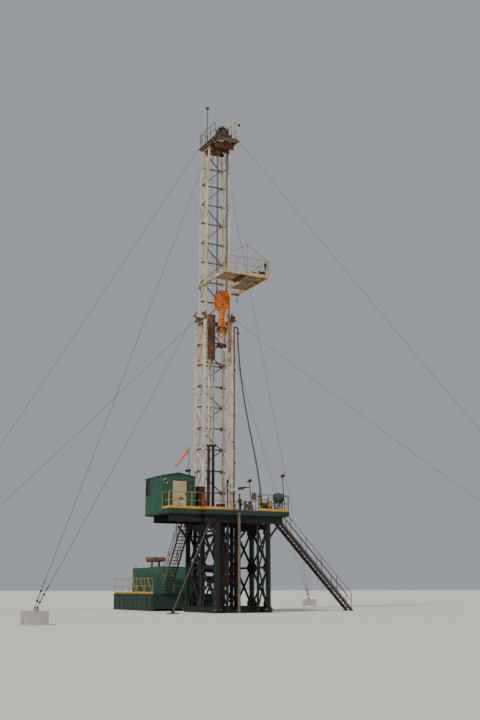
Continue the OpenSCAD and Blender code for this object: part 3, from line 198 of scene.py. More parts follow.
weathered("prop_brown", (0.045, 0.034, 0.026), (0.03, 0.024, 0.02), (0.09, 0.05, 0.03), chips=0.6)
weathered("pipe_maroon", (0.075, 0.022, 0.018), (0.05, 0.02, 0.016), (0.06, 0.03, 0.02), chips=0.6)
weathered("pipe_brown", (0.13, 0.095, 0.065), (0.085, 0.06, 0.042), (0.14, 0.06, 0.03), chips=0.6)
print("mixed", len(finish_of), "paints")

# %% [markdown]
# Greased wire rope is six strands laid in a screw round a core. Modelling each strand would take far too
# many faces over four hundred metres, so a fine wave on a slant stands for the strands, in colour and in
# relief.

# %% Rope, rubber, cloth and glass
def striped(slot, colour, groove, stripes, turn, rough, depth, metal=0.0):
    """A finish with slanting stripes, for the lay of a rope or the ribs of a hose."""
    tree, shader, place = start_finish(slot)
    mapping = tree.nodes.new("ShaderNodeMapping")
    mapping.inputs["Rotation"].default_value = turn
    tree.links.new(place, mapping.inputs["Vector"])
    wave = tree.nodes.new("ShaderNodeTexWave")
    wave.bands_direction = "Z"
    wave.inputs["Scale"].default_value = stripes
    wave.inputs["Distortion"].default_value = 0.6
    tree.links.new(mapping.outputs["Vector"], wave.inputs["Vector"])
    soil = mask(tree, lumps(tree, place, 1.7, 6), 0.35, 0.75)
    tone = mixed(tree, wave.outputs["Fac"], groove, colour)
    dusty = mixed(tree, soil, tone, tuple(0.55 * c + 0.02 for c in colour))
    tree.links.new(dusty, shader.inputs["Base Color"])
    shader.inputs["Roughness"].default_value = rough
    shader.inputs["Metallic"].default_value = metal
    relief(tree, shader, wave.outputs["Fac"], 0.5, depth)


striped("wire_rope", (0.085, 0.078, 0.07), (0.03, 0.026, 0.022), 14, (0.9, 0.3, 0), 0.5, 0.003, metal=0.4)
striped("hose_rubber", (0.022, 0.021, 0.02), (0.012, 0.012, 0.012), 9, (0, 0, 0), 0.62, 0.002)
striped("sock_cloth", (0.72, 0.20, 0.045), (0.60, 0.15, 0.035), 60, (0, 0.8, 0), 0.85, 0.001)
weathered("dark_glass", (0.014, 0.017, 0.018), (0.035, 0.038, 0.036), (0.06, 0.055, 0.045), chips=0.72,
          rough=0.16, bump=0.02)
weathered("lamp_gold", (0.62, 0.40, 0.13), (0.48, 0.30, 0.10), (0.20, 0.10, 0.04), chips=0.7, rough=0.35,
          metal=0.5)
print("finishes:", ", ".join(sorted(finish_of)))

# %% [markdown]
# The frame's pieces keep their shape. Each swaps its plain colour for the finish that its record names, and
# a few take an older or duller coat than the rest of their slot. The back lattices of the mast take a darker
# brown as painted shade.

# %% Paint the frame's pieces
paint_of = {part["node"]: part["material_slot"] for part in frame["record"]["subparts"]}
# the back lattices of the mast take the darker brown as painted shade
paint_of.update(racking_platform="board_tan", rathole_pipe="pipe_brown", crown_sheaves="dark_steel",
                mast_lower_back="shaded_lattice_brown", mast_upper_back="shaded_lattice_brown", floor_rails="rail_brown",
                porch_rails="rail_olive", racking_rails="rail_olive", deck_rails="rail_olive",
                bop_stack="stack_red", standpipe="pipe_maroon", diagonal_prop="prop_brown")
for node, piece in frame["nodes"].items():
    for slot in piece.material_slots:
        slot.material = finish_of[paint_of[node]]
print("painted", len(paint_of), "pieces of the frame")

# %% [markdown]
# ## Mud hose
#
# A thick rubber hose carries mud from the gooseneck on the mast down to a union on the floor. It hangs from
# both ends and has to be that long, so that it can follow its swivel. A curve with round bevel is the
# natural way to make it: its points are the line of the hose, and the bevel is its radius. These are the
# same points as in the frame, so the hose lies where its solid is.

# %% Hang the mud hose
HOSE_D = 0.105
hose_line = [
    (1.6075, 0.5, 19.97), (1.6075, 0.5, 19.57), (1.609, 0.48, 19.2), (1.614, 0.425, 18.75),
    (1.623, 0.33, 18.1), (1.634, 0.2, 17.3), (1.65, 0.02, 16.4), (1.67, -0.19, 15.5), (1.693, -0.43, 14.6),
    (1.719, -0.7, 13.7), (1.748, -0.985, 12.8), (1.778, -1.27, 11.95), (1.808, -1.535, 11.15),
    (1.838, -1.79, 10.35),
    (1.862, -1.985, 9.65), (1.88, -2.13, 9.05), (1.892, -2.24, 8.6), (1.9, -2.3, 8.2), (1.9, -2.3, 7.85)]
hose_curve = bpy.data.curves.new("mud_hose", "CURVE")
hose_curve.dimensions = "3D"
hose_curve.bevel_depth = HOSE_D / 2
hose_curve.bevel_resolution = 3
hose_curve.use_fill_caps = True
spline = hose_curve.splines.new("POLY")
spline.points.add(len(hose_line) - 1)
for point, place in zip(spline.points, hose_line):
    point.co = (*place, 1)
hose_curve.materials.append(finish_of["hose_rubber"])
hose = bpy.data.objects.new("mud_hose", hose_curve)
bpy.context.collection.objects.link(hose)
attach(hose, "rig")
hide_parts("rotary_hose")

# %% [markdown]
# ## Helpers for modelling
#
# Small steel pieces come from few shapes: plates, bars, rings and bolts. Each starts as a primitive at its
# size and place, and then gets its edges broken, because a razor edge catches no light. The place goes into
# the mesh, so that every finished object sits at the origin and its paint lines up with its neighbours.

# %% Plates, bars, rings and copies
QUARTER = math.radians(90)
TURNED = {"X": (0, QUARTER, 0), "Y": (QUARTER, 0, 0), "Z": (0, 0, 0)}
SIDES = (-1, 1)


def deselect():
    """Nothing stays selected, since an operator acts on all that is."""
    bpy.ops.object.select_all(action="DESELECT")


def settle(name="piece"):
    """Puts the active piece's place and turn in its mesh, and names it."""
    bpy.ops.object.transform_apply(location=True, rotation=True, scale=True)
    bpy.context.object.name = name
    return bpy.context.object


def edit_all():
    """Opens the active piece in edit mode with all of it selected."""
    bpy.ops.object.mode_set(mode="EDIT")
    bpy.ops.mesh.select_mode(type="FACE")
    bpy.ops.mesh.select_all(action="SELECT")


def leave_edit():
    """Closes edit mode."""
    bpy.ops.object.mode_set(mode="OBJECT")


def pick_faces(piece, test):
    """Selects the faces whose centre and normal pass the test, in edit mode."""
    bpy.ops.mesh.select_all(action="DESELECT")
    leave_edit()
    for face in piece.data.polygons:
        face.select = test(face.center, face.normal)
    bpy.ops.object.mode_set(mode="EDIT")


def cube(middle, size, edge, turn=(0, 0, 0)):
    """A block with broken edges, which the plates and square bars are made from."""
    deselect()
    bpy.ops.mesh.primitive_cube_add(size=1, location=middle, rotation=turn, scale=size)
    piece = settle()
    edit_all()
    bpy.ops.mesh.bevel(offset=edge, segments=1)
    leave_edit()
    return piece


def plate(low, high, edge=0.006):
    """A plate or block from corner to corner."""
    low, high = Vector(map(min, low, high)), Vector(map(max, low, high))
    return cube((low + high) / 2, high - low, edge)


def slab(x, y, z, wide, deep, high, edge=0.006):
    """A plate or block from its middle and its size."""
    return cube((x, y, z), (wide, deep, high), edge)


def strut(start, end, width, height, edge=0.006):
    """A square bar from point to point. Its height lies in the upright plane through it."""
    start, end = Vector(start), Vector(end)
    turn = (end - start).to_track_quat("Z", "Y").to_euler()
    return cube((start + end) / 2, (width, height, (end - start).length), edge, turn)


def bar(start, end, diameter, sides=12, edge=0.0):
    """A round bar from point to point, its ends broken where edge is given."""
    deselect()
    start, end = Vector(start), Vector(end)
    turn = (end - start).to_track_quat("Z", "Y").to_euler()
    bpy.ops.mesh.primitive_cylinder_add(vertices=sides, radius=diameter / 2, depth=(end - start).length,
                                        location=(start + end) / 2, rotation=turn)
    piece = settle()
    if edge:
        along = (end - start).normalized()
        edit_all()
        pick_faces(piece, lambda centre, normal: abs(normal.dot(along)) > 0.9)
        bpy.ops.mesh.bevel(offset=edge, segments=2)
        leave_edit()
    return piece


def axle(axis, x, y, z, long, diameter, sides=12, edge=0.0):
    """A round bar along an axis, from its middle."""
    half = Vector([long / 2 if name == axis else 0 for name in "XYZ"])
    return bar(Vector((x, y, z)) - half, Vector((x, y, z)) + half, diameter, sides, edge)


def post(x, y, low, high, diameter, sides=12, edge=0.0):
    """An upright round bar."""
    return bar((x, y, low), (x, y, high), diameter, sides, edge)


def ring(radius, thick, x=0, y=0, z=0, axis="Z", around=40, sides=8):
    """A ring whose hole looks along the axis."""
    deselect()
    bpy.ops.mesh.primitive_torus_add(major_radius=radius, minor_radius=thick, major_segments=around,
                                     minor_segments=sides, location=(x, y, z), rotation=TURNED[axis])
    return settle()


def press(piece, way, rim, depth):
    """Insets the faces that look along way, and pushes them in. A depth below 0 raises them."""
    way = Vector(way)
    edit_all()
    pick_faces(piece, lambda centre, normal: normal.dot(way) > 0.9)
    bpy.ops.mesh.inset(thickness=rim)
    bpy.ops.transform.translate(value=-depth * way)
    leave_edit()
    return piece


def joined(name, pieces):
    """Joins pieces into one named object."""
    deselect()
    for piece in pieces:
        piece.select_set(True)
    bpy.context.view_layer.objects.active = pieces[0]
    if len(pieces) > 1:
        bpy.ops.object.join()
    bpy.context.object.name = name
    return bpy.context.object


def spread(piece, places):
    """A copy of the piece, with its own mesh, at each place. The first piece goes."""
    made = []
    for place in places:
        twin = piece.copy()
        twin.data = piece.data.copy()
        twin.data.transform(place)
        bpy.context.collection.objects.link(twin)
        made.append(twin)
    bpy.data.objects.remove(piece)
    return made


def shift(x=0.0, y=0.0, z=0.0, turn=0.0, axis="Z"):
    """The place of a copy: a move, after a turn in degrees about an axis through the origin."""
    return Matrix.Translation((x, y, z)) @ Matrix.Rotation(math.radians(turn), 4, axis)


def polar(radius, degrees):
    """The two coordinates of a point on a circle."""
    return radius * math.cos(math.radians(degrees)), radius * math.sin(math.radians(degrees))


def ready(name, pieces, slot, body="rig", paint=None):
    """Joins pieces, and gives them their paint and the body that they ride on. The paint is the finish that
    slot names, unless paint is given.
    """
    piece = joined(name, pieces)
    piece.data.materials.clear()
    piece.data.materials.append(finish_of[paint or slot])
    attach(piece, body)
    return piece


def hex_bolt(across, high):
    """A bolt head with a washer under it, standing on the origin along Z."""
    deselect()
    bpy.ops.mesh.primitive_cylinder_add(vertices=6, radius=across / 2, depth=high, location=(0, 0, high / 2))
    head = press(settle(), (0, 0, 1), across * 0.06, -across * 0.06)
    return joined("bolt", [head, post(0, 0, 0, 0.006, across * 1.24, 12)])


print("helpers ready")

# %% [markdown]
# ## Drilling lines
#
# One steel rope runs to and fro between the crown sheaves and the sheaves in the block, and hangs the block
# on eight falls. When the block travels, the falls get longer or shorter. Here each fall is a plain rod
# between the two axles. Half rings of rope lie in the grooves. They are a torus cut in half by the bisect
# tool.

# %% Reeve the drilling lines
ROPE_D = 0.028
FALL_X = 0.3923
AXLE_Z = 35.54
BLOCK_AXLE_Z = 22.42
rope_rows = [-0.123, -0.041, 0.041, 0.123]
falls = joined("drilling_falls", [post(s * FALL_X, y, BLOCK_AXLE_Z, AXLE_Z, ROPE_D, 10)
                                  for s in SIDES for y in rope_rows])
falls.data.materials.clear()
falls.data.materials.append(finish_of["wire_rope"])
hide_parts("drilling_lines")
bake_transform(falls)


def rope_wraps(z, top_half):
    """Half rings of rope over or under the four sheaves on one axle."""
    half = ring(FALL_X, ROPE_D / 2, axis="Y")
    edit_all()
    bpy.ops.mesh.bisect(plane_co=(0, 0, 0), plane_no=(0, 0, 1), use_fill=True, clear_inner=top_half,
                        clear_outer=not top_half)
    leave_edit()
    return spread(half, [shift(y=y, z=z) for y in rope_rows])


ready("rope_over_crown", rope_wraps(AXLE_Z, True), "wire_rope")
ready("rope_under_block", rope_wraps(BLOCK_AXLE_Z, False), "wire_rope", "block")
print("eight falls of", round(AXLE_Z - BLOCK_AXLE_Z, 2), "m")

# %% [markdown]
# ## Windsock
#
# An orange cloth sock on the doghouse roof shows where the wind blows. With little wind it hangs down
# slantwise, full at the mouth and pinched further on. It could be a cloth simulation, but a tube of rings
# that are extruded and scaled one after another gives the same calm shape, the same at each run. A shallow
# wave on each ring stands for its soft folds. Its ring, arm and sleeve turn with it.

# %% Sew the windsock
SOCK_HUB = Vector((-3.1, -1.3, 10.949))
SOCK_TURN = (0, math.radians(-142), 0)
SOCK_MOUTH = 0.267
SOCK_LONG = 1.3
sock_rings = [(SOCK_MOUTH, 0.150), (0.37, 0.149), (0.49, 0.140), (0.62, 0.126), (0.75, 0.110),
              (0.88, 0.095),
              (1.01, 0.084), (1.14, 0.077), (1.26, 0.074), (1.37, 0.077), (1.47, 0.082), (1.575, 0.080)]


def hang_on_pole(piece):
    """Turns a piece that was made upright to the sock's slant, at the top of the pole."""
    deselect()
    piece.rotation_euler = SOCK_TURN
    piece.location = SOCK_HUB
    bpy.context.view_layer.objects.active = piece
    piece.select_set(True)
    return settle(piece.name)


deselect()
bpy.ops.mesh.primitive_circle_add(vertices=48, radius=sock_rings[0][1], fill_type="NOTHING",
                                  location=(0, 0, sock_rings[0][0]))
sock = settle("sock_cloth")
bpy.ops.object.mode_set(mode="EDIT")
bpy.ops.mesh.select_mode(type="VERT")
bpy.ops.mesh.select_all(action="SELECT")
for (low, small), (high, large) in zip(sock_rings, sock_rings[1:]):
    bpy.ops.mesh.extrude_region_move(TRANSFORM_OT_translate={"value": (0, 0, high - low)})
    bpy.ops.transform.resize(value=(large / small, large / small, 1), center_override=(0, 0, high))
leave_edit()
for point in sock.data.vertices:
    angle = math.atan2(point.co.y, point.co.x)
    far = (point.co.z - SOCK_MOUTH) / SOCK_LONG
    fold = 1 + 0.055 * far * math.sin(5 * angle + 6 * far) + 0.02 * far * math.sin(9 * angle)
    point.co.x *= fold
    point.co.y *= fold
hang_on_pole(sock)
bpy.ops.object.shade_smooth()
ready("sock_cloth", [sock], "sock_cloth", "sock")
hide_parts("windsock")

# %% Make its ring, arm and sleeve
arm = [post(0, 0, 0.026, 0.15, 0.02, 12, 0.002)]
arm += [bar((0, 0, 0.14), (*polar(0.145, math.degrees(turn)), 0.267), 0.008, 6) for turn in (0.8, 2.9, 5.0)]
swivel = hang_on_pole(joined("sock_swivel", [ring(0.15, 0.007, z=SOCK_MOUTH), *arm]))
deselect()
bpy.ops.mesh.primitive_cylinder_add(vertices=24, radius=0.026, depth=0.2, location=SOCK_HUB,
                                    end_fill_type="NOTHING")
sleeve = settle("sleeve")
bpy.ops.object.modifier_add(type="SOLIDIFY")
sleeve.modifiers[-1].thickness = 0.011
bpy.ops.object.modifier_apply(modifier=sleeve.modifiers[-1].name)
ready("sock_swivel", [swivel, sleeve], "dark_steel", "sock")

# %% [markdown]
# ## Floodlights
#
# Three lamps on posts light the floor at night. Each has a dished gold housing, a glass, a stirrup that
# lets it tilt, and a foot plate. The housing is a cylinder whose front is inset and pushed in, so that the
# lamp reads as hollow. One lamp is made and copied to the posts.

# %% Make and place the floodlights
FLOOR = 6.7
LAMP_TILT = 25
deselect()
bpy.ops.mesh.primitive_cylinder_add(vertices=28, radius=0.15, depth=0.15, rotation=TURNED["Y"])
housing = settle()
edit_all()
# the front is pushed in for the dish, and the back is drawn out to a small cap
pick_faces(housing, lambda centre, normal: normal.y < -0.9)
bpy.ops.mesh.inset(thickness=0.014)
bpy.ops.transform.translate(value=(0, 0.05, 0))
bpy.ops.transform.resize(value=(0.8, 1, 0.8))
pick_faces(housing, lambda centre, normal: normal.y > 0.9)
bpy.ops.mesh.extrude_region_move(TRANSFORM_OT_translate={"value": (0, 0.05, 0)})
bpy.ops.transform.resize(value=(0.45, 1, 0.45))
leave_edit()
housing.data.transform(Matrix.Translation((0, -0.05, 0.02)))
deselect()
bpy.ops.mesh.primitive_uv_sphere_add(segments=20, ring_count=10, radius=0.118, location=(0, -0.084, 0.02))
glass = settle()
glass.data.transform(Matrix.Translation((0, -0.084, 0)) @ Matrix.Scale(0.3, 4, (0, 1, 0))
                     @ Matrix.Translation((0, 0.084, 0)))
stirrup = [slab(s * 0.163, -0.05, -0.03, 0.012, 0.04, 0.14, 0.002) for s in SIDES]
stirrup.append(plate((-0.169, -0.07, -0.112), (0.169, -0.03, -0.10), 0.002))
# the foot of each post on the floor, and its lamp
posts = [((1.13, -2.55), (0.91, -2.55, 8.8)), ((3.2, -3.465), (3.0, -3.465, 9.15)),
         ((-5.15, -2.94), (-5.53, -2.94, 8.45))]
tilts = [Matrix.Translation(top) @ Matrix.Rotation(math.radians(LAMP_TILT), 4, "X") for foot, top in posts]
ready("lamp_housings", spread(housing, tilts), "yellow_paint", paint="lamp_gold")
ready("lamp_glasses", spread(glass, tilts), "dark_glass")
poles = spread(joined("stirrup", stirrup), tilts)
for foot, top in posts:
    poles.append(bar((*foot, FLOOR), Vector(top) - Vector((0, 0, 0.11)), 0.055, 16, 0.004))
    poles.append(slab(*foot, FLOOR + 0.008, 0.16, 0.16, 0.016))
poles = ready("lamp_posts", poles, "dark_steel")
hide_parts("floodlights")
print("three floodlights")

# %% [markdown]
# ## Doghouse
#
# The doghouse is the crew's shelter on the floor, a steel cabin with a shallow gable roof. Its walls are
# flat sheets on a frame of angle bar, so seams stand proud at the corners and run up the walls. We lay thin
# strips over the walls for the seams. The windows get a frame, and the one on the left gets slats on a
# slant. Each strip is a plate with broken edges, and the slats are one plate copied down the opening.

# %% Seams, corners and roof edges of the doghouse
DOG_LEFT = -5.35
DOG_RIGHT = -2.95
DOG_MID = -4.15
DOG_FRONT = -2.0
DOG_BACK = 0.85
SKID_TOP = 6.5
WALL_TOP = 8.9
seams = []
# corner posts
for x, y in product((DOG_LEFT, DOG_RIGHT - 0.05), (DOG_FRONT, DOG_BACK - 0.05)):
    seams.append(plate((x - 0.008, y - 0.008, SKID_TOP), (x + 0.058, y + 0.058, WALL_TOP - 0.03), 0.005))
# seams of the side walls and of the back wall
for x, y in product((DOG_LEFT, DOG_RIGHT), (-1.3, -0.62, 0.02)):
    seams.append(plate((x - 0.01, y - 0.025, SKID_TOP + 0.06), (x + 0.01, y + 0.025, WALL_TOP - 0.06), 0.004))
for x in (-4.55, -3.75):
    seams.append(plate((x - 0.025, DOG_BACK - 0.01, SKID_TOP + 0.06),
                       (x + 0.025, DOG_BACK + 0.01, WALL_TOP + 0.04), 0.004))
# sills and heads along the sides
for x in (DOG_LEFT - 0.01, DOG_RIGHT - 0.01):
    seams.append(plate((x, DOG_FRONT + 0.06, SKID_TOP), (x + 0.02, DOG_BACK - 0.06, SKID_TOP + 0.06), 0.004))
    seams.append(plate((x, DOG_FRONT + 0.06, WALL_TOP - 0.09), (x + 0.02, DOG_BACK - 0.06, WALL_TOP - 0.04),
                       0.004))
# verges and ridge of the roof
for s in SIDES:
    for y in (DOG_FRONT - 0.052, DOG_BACK + 0.032):
        seams.append(strut((DOG_MID, y + 0.01, WALL_TOP + 0.235),
                           (DOG_MID + s * 1.235, y + 0.01, WALL_TOP + 0.008), 0.06, 0.022, 0.004))
seams.append(plate((DOG_MID - 0.08, DOG_FRONT - 0.03, WALL_TOP + 0.252),
                   (DOG_MID + 0.08, DOG_BACK + 0.03, WALL_TOP + 0.268)))
ready("doghouse_seams", seams, "wall_green")
print(len(seams), "seams and trims")


# %% Frames and slats of the windows
def frame_of_bars(low, high, wide, deep, flat):
    """Four bars round an opening. flat is the axis that the opening faces, 0 for X and 1 for Y."""
    bars = []
    for side in (1 - flat, 2):
        for at in (low[side] - wide, high[side]):
            a, b = list(low), list(high)
            if side < 2:
                a[2], b[2] = low[2] - wide, high[2] + wide
            a[side], b[side] = at, at + wide
            a[flat], b[flat] = deep
            bars.append(plate(a, b, 0.004))
    return bars


SLAT_TURN = 35
side_window = frame_of_bars((DOG_LEFT, 0.1, 7.78), (DOG_LEFT, 0.75, 8.78), 0.05,
                            (DOG_LEFT - 0.014, DOG_LEFT + 0.02), 0)
front_window = frame_of_bars((-3.47, DOG_FRONT, 7.94), (-3.13, DOG_FRONT, 8.54), 0.04,
                             (DOG_FRONT - 0.014, DOG_FRONT + 0.02), 1)
ready("window_frames", side_window + front_window, "green_paint")
slat = strut((0, 0.10, 0), (0, 0.75, 0), 0.046, 0.005, 0.001)
slat_places = [shift(DOG_LEFT + 0.016, 0, 7.82 + 0.055 * i, SLAT_TURN, "Y") for i in range(18)]
ready("side_window_slats", spread(slat, slat_places), "dark_steel")
print("two windows framed")

# %% [markdown]
# The door is a steel leaf with a pressed panel above and a kick plate below. A panel is a face that is
# inset and pushed in a little, which is quicker than adding strips. The leaf here is a thin skin over the
# solid door, and it swings with it.

# %% Dress the door
DOOR_LEFT = -4.6
DOOR_RIGHT = -3.57
door_skin = plate((DOOR_LEFT + 0.016, DOG_FRONT - 0.012, 6.72),
                  (DOOR_RIGHT - 0.016, DOG_FRONT + 0.004, 8.585), 0.003)
edit_all()
bpy.ops.mesh.bisect(plane_co=(0, 0, 7.42), plane_no=(0, 0, 1))
pick_faces(door_skin, lambda centre, normal: normal.y < -0.9)
bpy.ops.mesh.inset(thickness=0.085, use_individual=True)
bpy.ops.transform.translate(value=(0, 0.006, 0))
bpy.ops.mesh.inset(thickness=0.02, use_individual=True)
bpy.ops.transform.translate(value=(0, -0.004, 0))
leave_edit()
ready("door_skin", [door_skin], "door_tan", "door")
kick = plate((DOOR_LEFT + 0.10, DOG_FRONT - 0.018, 6.80), (DOOR_RIGHT - 0.12, DOG_FRONT - 0.006, 7.30),
             0.003)
GRIP_X = DOOR_RIGHT - 0.1
GRIP_Y = DOG_FRONT - 0.055
handle = [post(GRIP_X, GRIP_Y, 7.66, 7.92, 0.022, 12, 0.003)]
handle += [bar((GRIP_X, DOG_FRONT - 0.012, z), (GRIP_X, GRIP_Y, z), 0.016, 10, 0.002) for z in (7.69, 7.89)]
ready("kick_plate", [kick], "mast_cream", "door")
ready("door_handle", handle, "dark_steel", "door")
vent = [plate((-4.13, DOG_FRONT - 0.024, z), (-3.83, DOG_FRONT - 0.005, z + 0.03), 0.002)
        for z in (7.38, 7.425, 7.47)]
ready("door_vent", vent, "dark_glass", "door")
door_frame = frame_of_bars((DOOR_LEFT, DOG_FRONT, 6.75), (DOOR_RIGHT, DOG_FRONT, 8.60), 0.05,
                           (DOG_FRONT - 0.006, DOG_FRONT + 0.002), 1)
ready("door_frame", door_frame, "green_paint")
print("door dressed")

# %% [markdown]
# A bracket lamp looks down from the eaves at the right of the roof, beside the foot of the windsock pole.

# %% Roof lamp
# bracket, head, rim and foot
bracket = [strut((-3.30, -1.90, 8.99), (-3.36, -1.96, 9.30), 0.05, 0.03, 0.004),
           bar((-3.30, -1.94, 9.36), (-3.62, -2.06, 9.28), 0.17, 20, 0.012),
           bar((-3.60, -2.052, 9.285), (-3.635, -2.066, 9.276), 0.22, 20, 0.004),
           plate((-3.37, -1.97, 8.99), (-3.23, -1.83, 9.02))]
ready("roof_lamp", bracket, "dark_steel")
print("roof lamp set")

# %% [markdown]
# ## Gussets and splices of the mast
#
# Where a girt meets a leg, a flat plate with cut corners is welded over the joint. The plate is one cube
# whose two far corners are cut by an edge bevel, and all joints get a copy. Drawing each one by hand would
# take hours, and a list of places takes a few lines.

# %% Gussets on the mast
def gusset(reach, high, thick):
    """A plate that stands on its edge at Y 0 and faces X, with its two far corners cut off."""
    deselect()
    bpy.ops.mesh.primitive_cube_add(size=1, location=(0, reach / 2, 0), scale=(thick, reach, high))
    piece = settle()
    bpy.ops.object.mode_set(mode="EDIT")
    bpy.ops.mesh.select_mode(type="EDGE")
    bpy.ops.mesh.select_all(action="DESELECT")
    leave_edit()
    for edge in piece.data.edges:
        a, b = (piece.data.vertices[i].co for i in edge.vertices)
        edge.select = min(a.y, b.y) > reach * 0.9 and abs(a.x - b.x) > thick / 2
    bpy.ops.object.mode_set(mode="EDIT")
    bpy.ops.mesh.bevel(offset=reach * 0.42, segments=1)
    leave_edit()
    return piece


LOWER_BAY = 1.55667
UPPER_BAY = 1.54444
lower_girts = [6.745 + LOWER_BAY * i for i in range(10)]
upper_girts = [17.845 + UPPER_BAY * i for i in range(2, 10)]
lower_places = [shift(s * 1.171, y, z, turn) for s in SIDES for z in lower_girts
                for y, turn in ((0.585, 0), (1.765, 180))]
lower_places += [shift(s * 1.035, 1.901, z, s * 90) for s in SIDES for z in lower_girts[1:]]
upper_places = [shift(s * 1.001, y, z, turn) for s in SIDES for z in upper_girts
                for y, turn in ((0.715, 0), (1.635, 180))]
upper_places += [shift(s * 0.885, 1.751, z, s * 90) for s in SIDES for z in upper_girts]
ready("mast_gussets", spread(gusset(0.24, 0.30, 0.012), lower_places)
      + spread(gusset(0.19, 0.24, 0.012), upper_places), "mast_cream")
print(len(lower_places) + len(upper_places), "gussets")

# %% [markdown]
# Legs come in lengths that are pinned end to end. Each joint has two cheek plates over it and two fat pins
# with a round head, and there is one more pin in each foot.

# %% Leg splices and foot pins
LEG_X = 1.12
splices = []
pins = []
for s in SIDES:
    for y in (0.5, 1.85):
        for z in (10.9, 15.6):
            # one cheek plate beside the leg, one in front of it, and two pins
            x = s * (LEG_X + 0.085)
            splices.append(slab(x, y, z, 0.024, 0.19, 0.60, 0.005))
            splices.append(slab(s * LEG_X, y - 0.09, z, 0.19, 0.014, 0.56, 0.005))
            for at in (z - 0.17, z + 0.17):
                pins.append(bar((x - s * 0.19, y, at), (x + s * 0.055, y, at), 0.08, 16, 0.008))
        # the pin in the foot, with a shoe plate on each side
        pins.append(axle("X", s * LEG_X, y, 6.90, 0.28, 0.09, 16, 0.008))
        for dx in (-0.10, 0.10):
            splices.append(slab(s * LEG_X + dx, y, 6.8775, 0.024, 0.26, 0.285, 0.005))
ready("mast_splices", splices, "mast_cream")
ready("mast_pins", pins, "dark_steel")
print(len(splices), "plates and", len(pins), "pins")

# %% [markdown]
# ## Substructure plates and pins
#
# The side frames carry the whole floor, so their joints have heavy gussets, a pin through each post and
# round lifting bars across the skids. They use the same gusset as the mast, only larger.

# %% Plates and pins of the substructure
post_rows = (-3.35, -1.025, 1.3)
frame_places = []
for x, y, z in product((-1.978, -1.822, 1.978, 1.822), post_rows, (0.52, 2.95, 5.36)):
    if y < post_rows[-1]:
        frame_places.append(shift(x, y + 0.12, z))
    if y > post_rows[0]:
        frame_places.append(shift(x, y - 0.12, z, 180))
pedestal_places = [shift(s * 1.188, y, 0.7 + 1.65 * i, turn) for s in SIDES for i in range(3)
                   for y, turn in ((0.59, 0), (1.76, 180))]
ready("substructure_gussets", spread(gusset(0.42, 0.62, 0.016), frame_places)
      + spread(gusset(0.26, 0.40, 0.014), pedestal_places), "dark_green_paint")
frame_pins = []
# pins through the posts, and the lifting bars across the skids
for x in (-1.9, 1.9):
    frame_pins += [axle("X", x, y, z, 0.34, 0.11, 16, 0.01) for y in post_rows for z in (0.62, 5.30)]
    frame_pins += [axle("X", x, y, 0.20, 0.54, 0.16, 18, 0.012) for y in (-3.45, 1.40)]
ready("substructure_pins", frame_pins, "rusty_steel")
print(len(frame_places) + len(pedestal_places), "gussets under the floor")

# %% [markdown]
# ## Stair treads
#
# A tread is an open grating, so that mud falls through. One tread gets a rounded nosing and bearing bars on
# top, and both stairs get copies of it. Cutting real slots would need many more faces and look the same
# from here.

# %% Grate the treads
TREAD_W = 0.62
LEFT_RUN = 3.9
LEFT_DROP = 5.5
LEFT_STEPS = 24
RIGHT_RUN = 6.5
RIGHT_STEPS = 29
tread = [axle("Y", 0.064, 0, -0.004, TREAD_W, 0.026, 10, 0.003)]
tread += [slab(-0.13 + 0.04 * i, 0, 0.003, 0.008, TREAD_W, 0.018, 0.002) for i in range(5)]
left_steps = [shift(-2.4, 0.15 + LEFT_RUN * i / LEFT_STEPS, FLOOR - LEFT_DROP * i / LEFT_STEPS, 90)
              for i in range(1, LEFT_STEPS)]
right_steps = [shift(3.45 + RIGHT_RUN * i / RIGHT_STEPS, -1.2, FLOOR - FLOOR * i / RIGHT_STEPS)
               for i in range(1, RIGHT_STEPS)]
ready("tread_gratings", spread(joined("tread", tread), left_steps + right_steps), "stair_steel")
print(len(left_steps) + len(right_steps), "treads")

# %% [markdown]
# ## Guy tackle
#
# Each guy is drawn tight by a turnbuckle above its anchor, and a shackle holds it to the eye. The
# turnbuckle is two side rods between two nuts, modelled upright and then turned to lie along its guy. The
# direction comes from the guy's own end points.

# %% Turnbuckles and shackles
GUY_SAG = 0.22
ANCHOR_EYE = 0.8003
ANCHOR = 18.5
LOW_ANCHOR = 18.34


def guy_ends(top, anchor):
    """The last straight stretch of a sagging guy: its low end, and the direction up along it."""
    low = Vector((*anchor, ANCHOR_EYE))
    span = Vector(top) - low
    part = 7 / 8
    before = Vector(top) - span * part - Vector((0, 0, 4 * GUY_SAG * part * (1 - part)))
    return low, (before - low).normalized()


guys = []
for s in SIDES:
    guys.append(((s * 1.13, -0.72, 34.71), (s * ANCHOR, -ANCHOR)))
    guys.append(((s * 1.13, 1.92, 34.71), (s * ANCHOR, ANCHOR)))
    guys.append(((-2.045 if s < 0 else 1.475, 0.5, 20.93), (s * LOW_ANCHOR, -LOW_ANCHOR)))
    guys.append(((s * 1.295, 1.85, 20.95), (s * LOW_ANCHOR, LOW_ANCHOR)))
# side rods, nuts and rope clamps
tackle = [post(x, 0, 0, 0.62, 0.018, 10, 0.002) for x in (-0.042, 0.042)]
tackle += [post(0, 0, z, z + 0.07, 0.105, 6, 0.006) for z in (0, 0.56)]
tackle += [plate((-0.032, -0.018, z), (0.032, 0.036, z + 0.03), 0.004) for z in (0.85, 1.0, 1.15)]
tackle_places = []
shackle_places = []
for top, anchor in guys:
    low, up = guy_ends(top, anchor)
    turn = up.to_track_quat("Z", "Y").to_matrix().to_4x4()
    tackle_places.append(Matrix.Translation(low + up * 0.25) @ turn)
    heading = math.degrees(math.atan2(up.y, up.x))
    shackle_places.append(shift(*anchor, 0.72, heading))
ready("guy_turnbuckles", spread(joined("turnbuckle", tackle), tackle_places), "dark_steel")
shackle = joined("shackle", [ring(0.06, 0.013, z=0.03, axis="Y", around=24),
                             axle("Y", 0, 0, 0, 0.15, 0.026, 10, 0.003)])
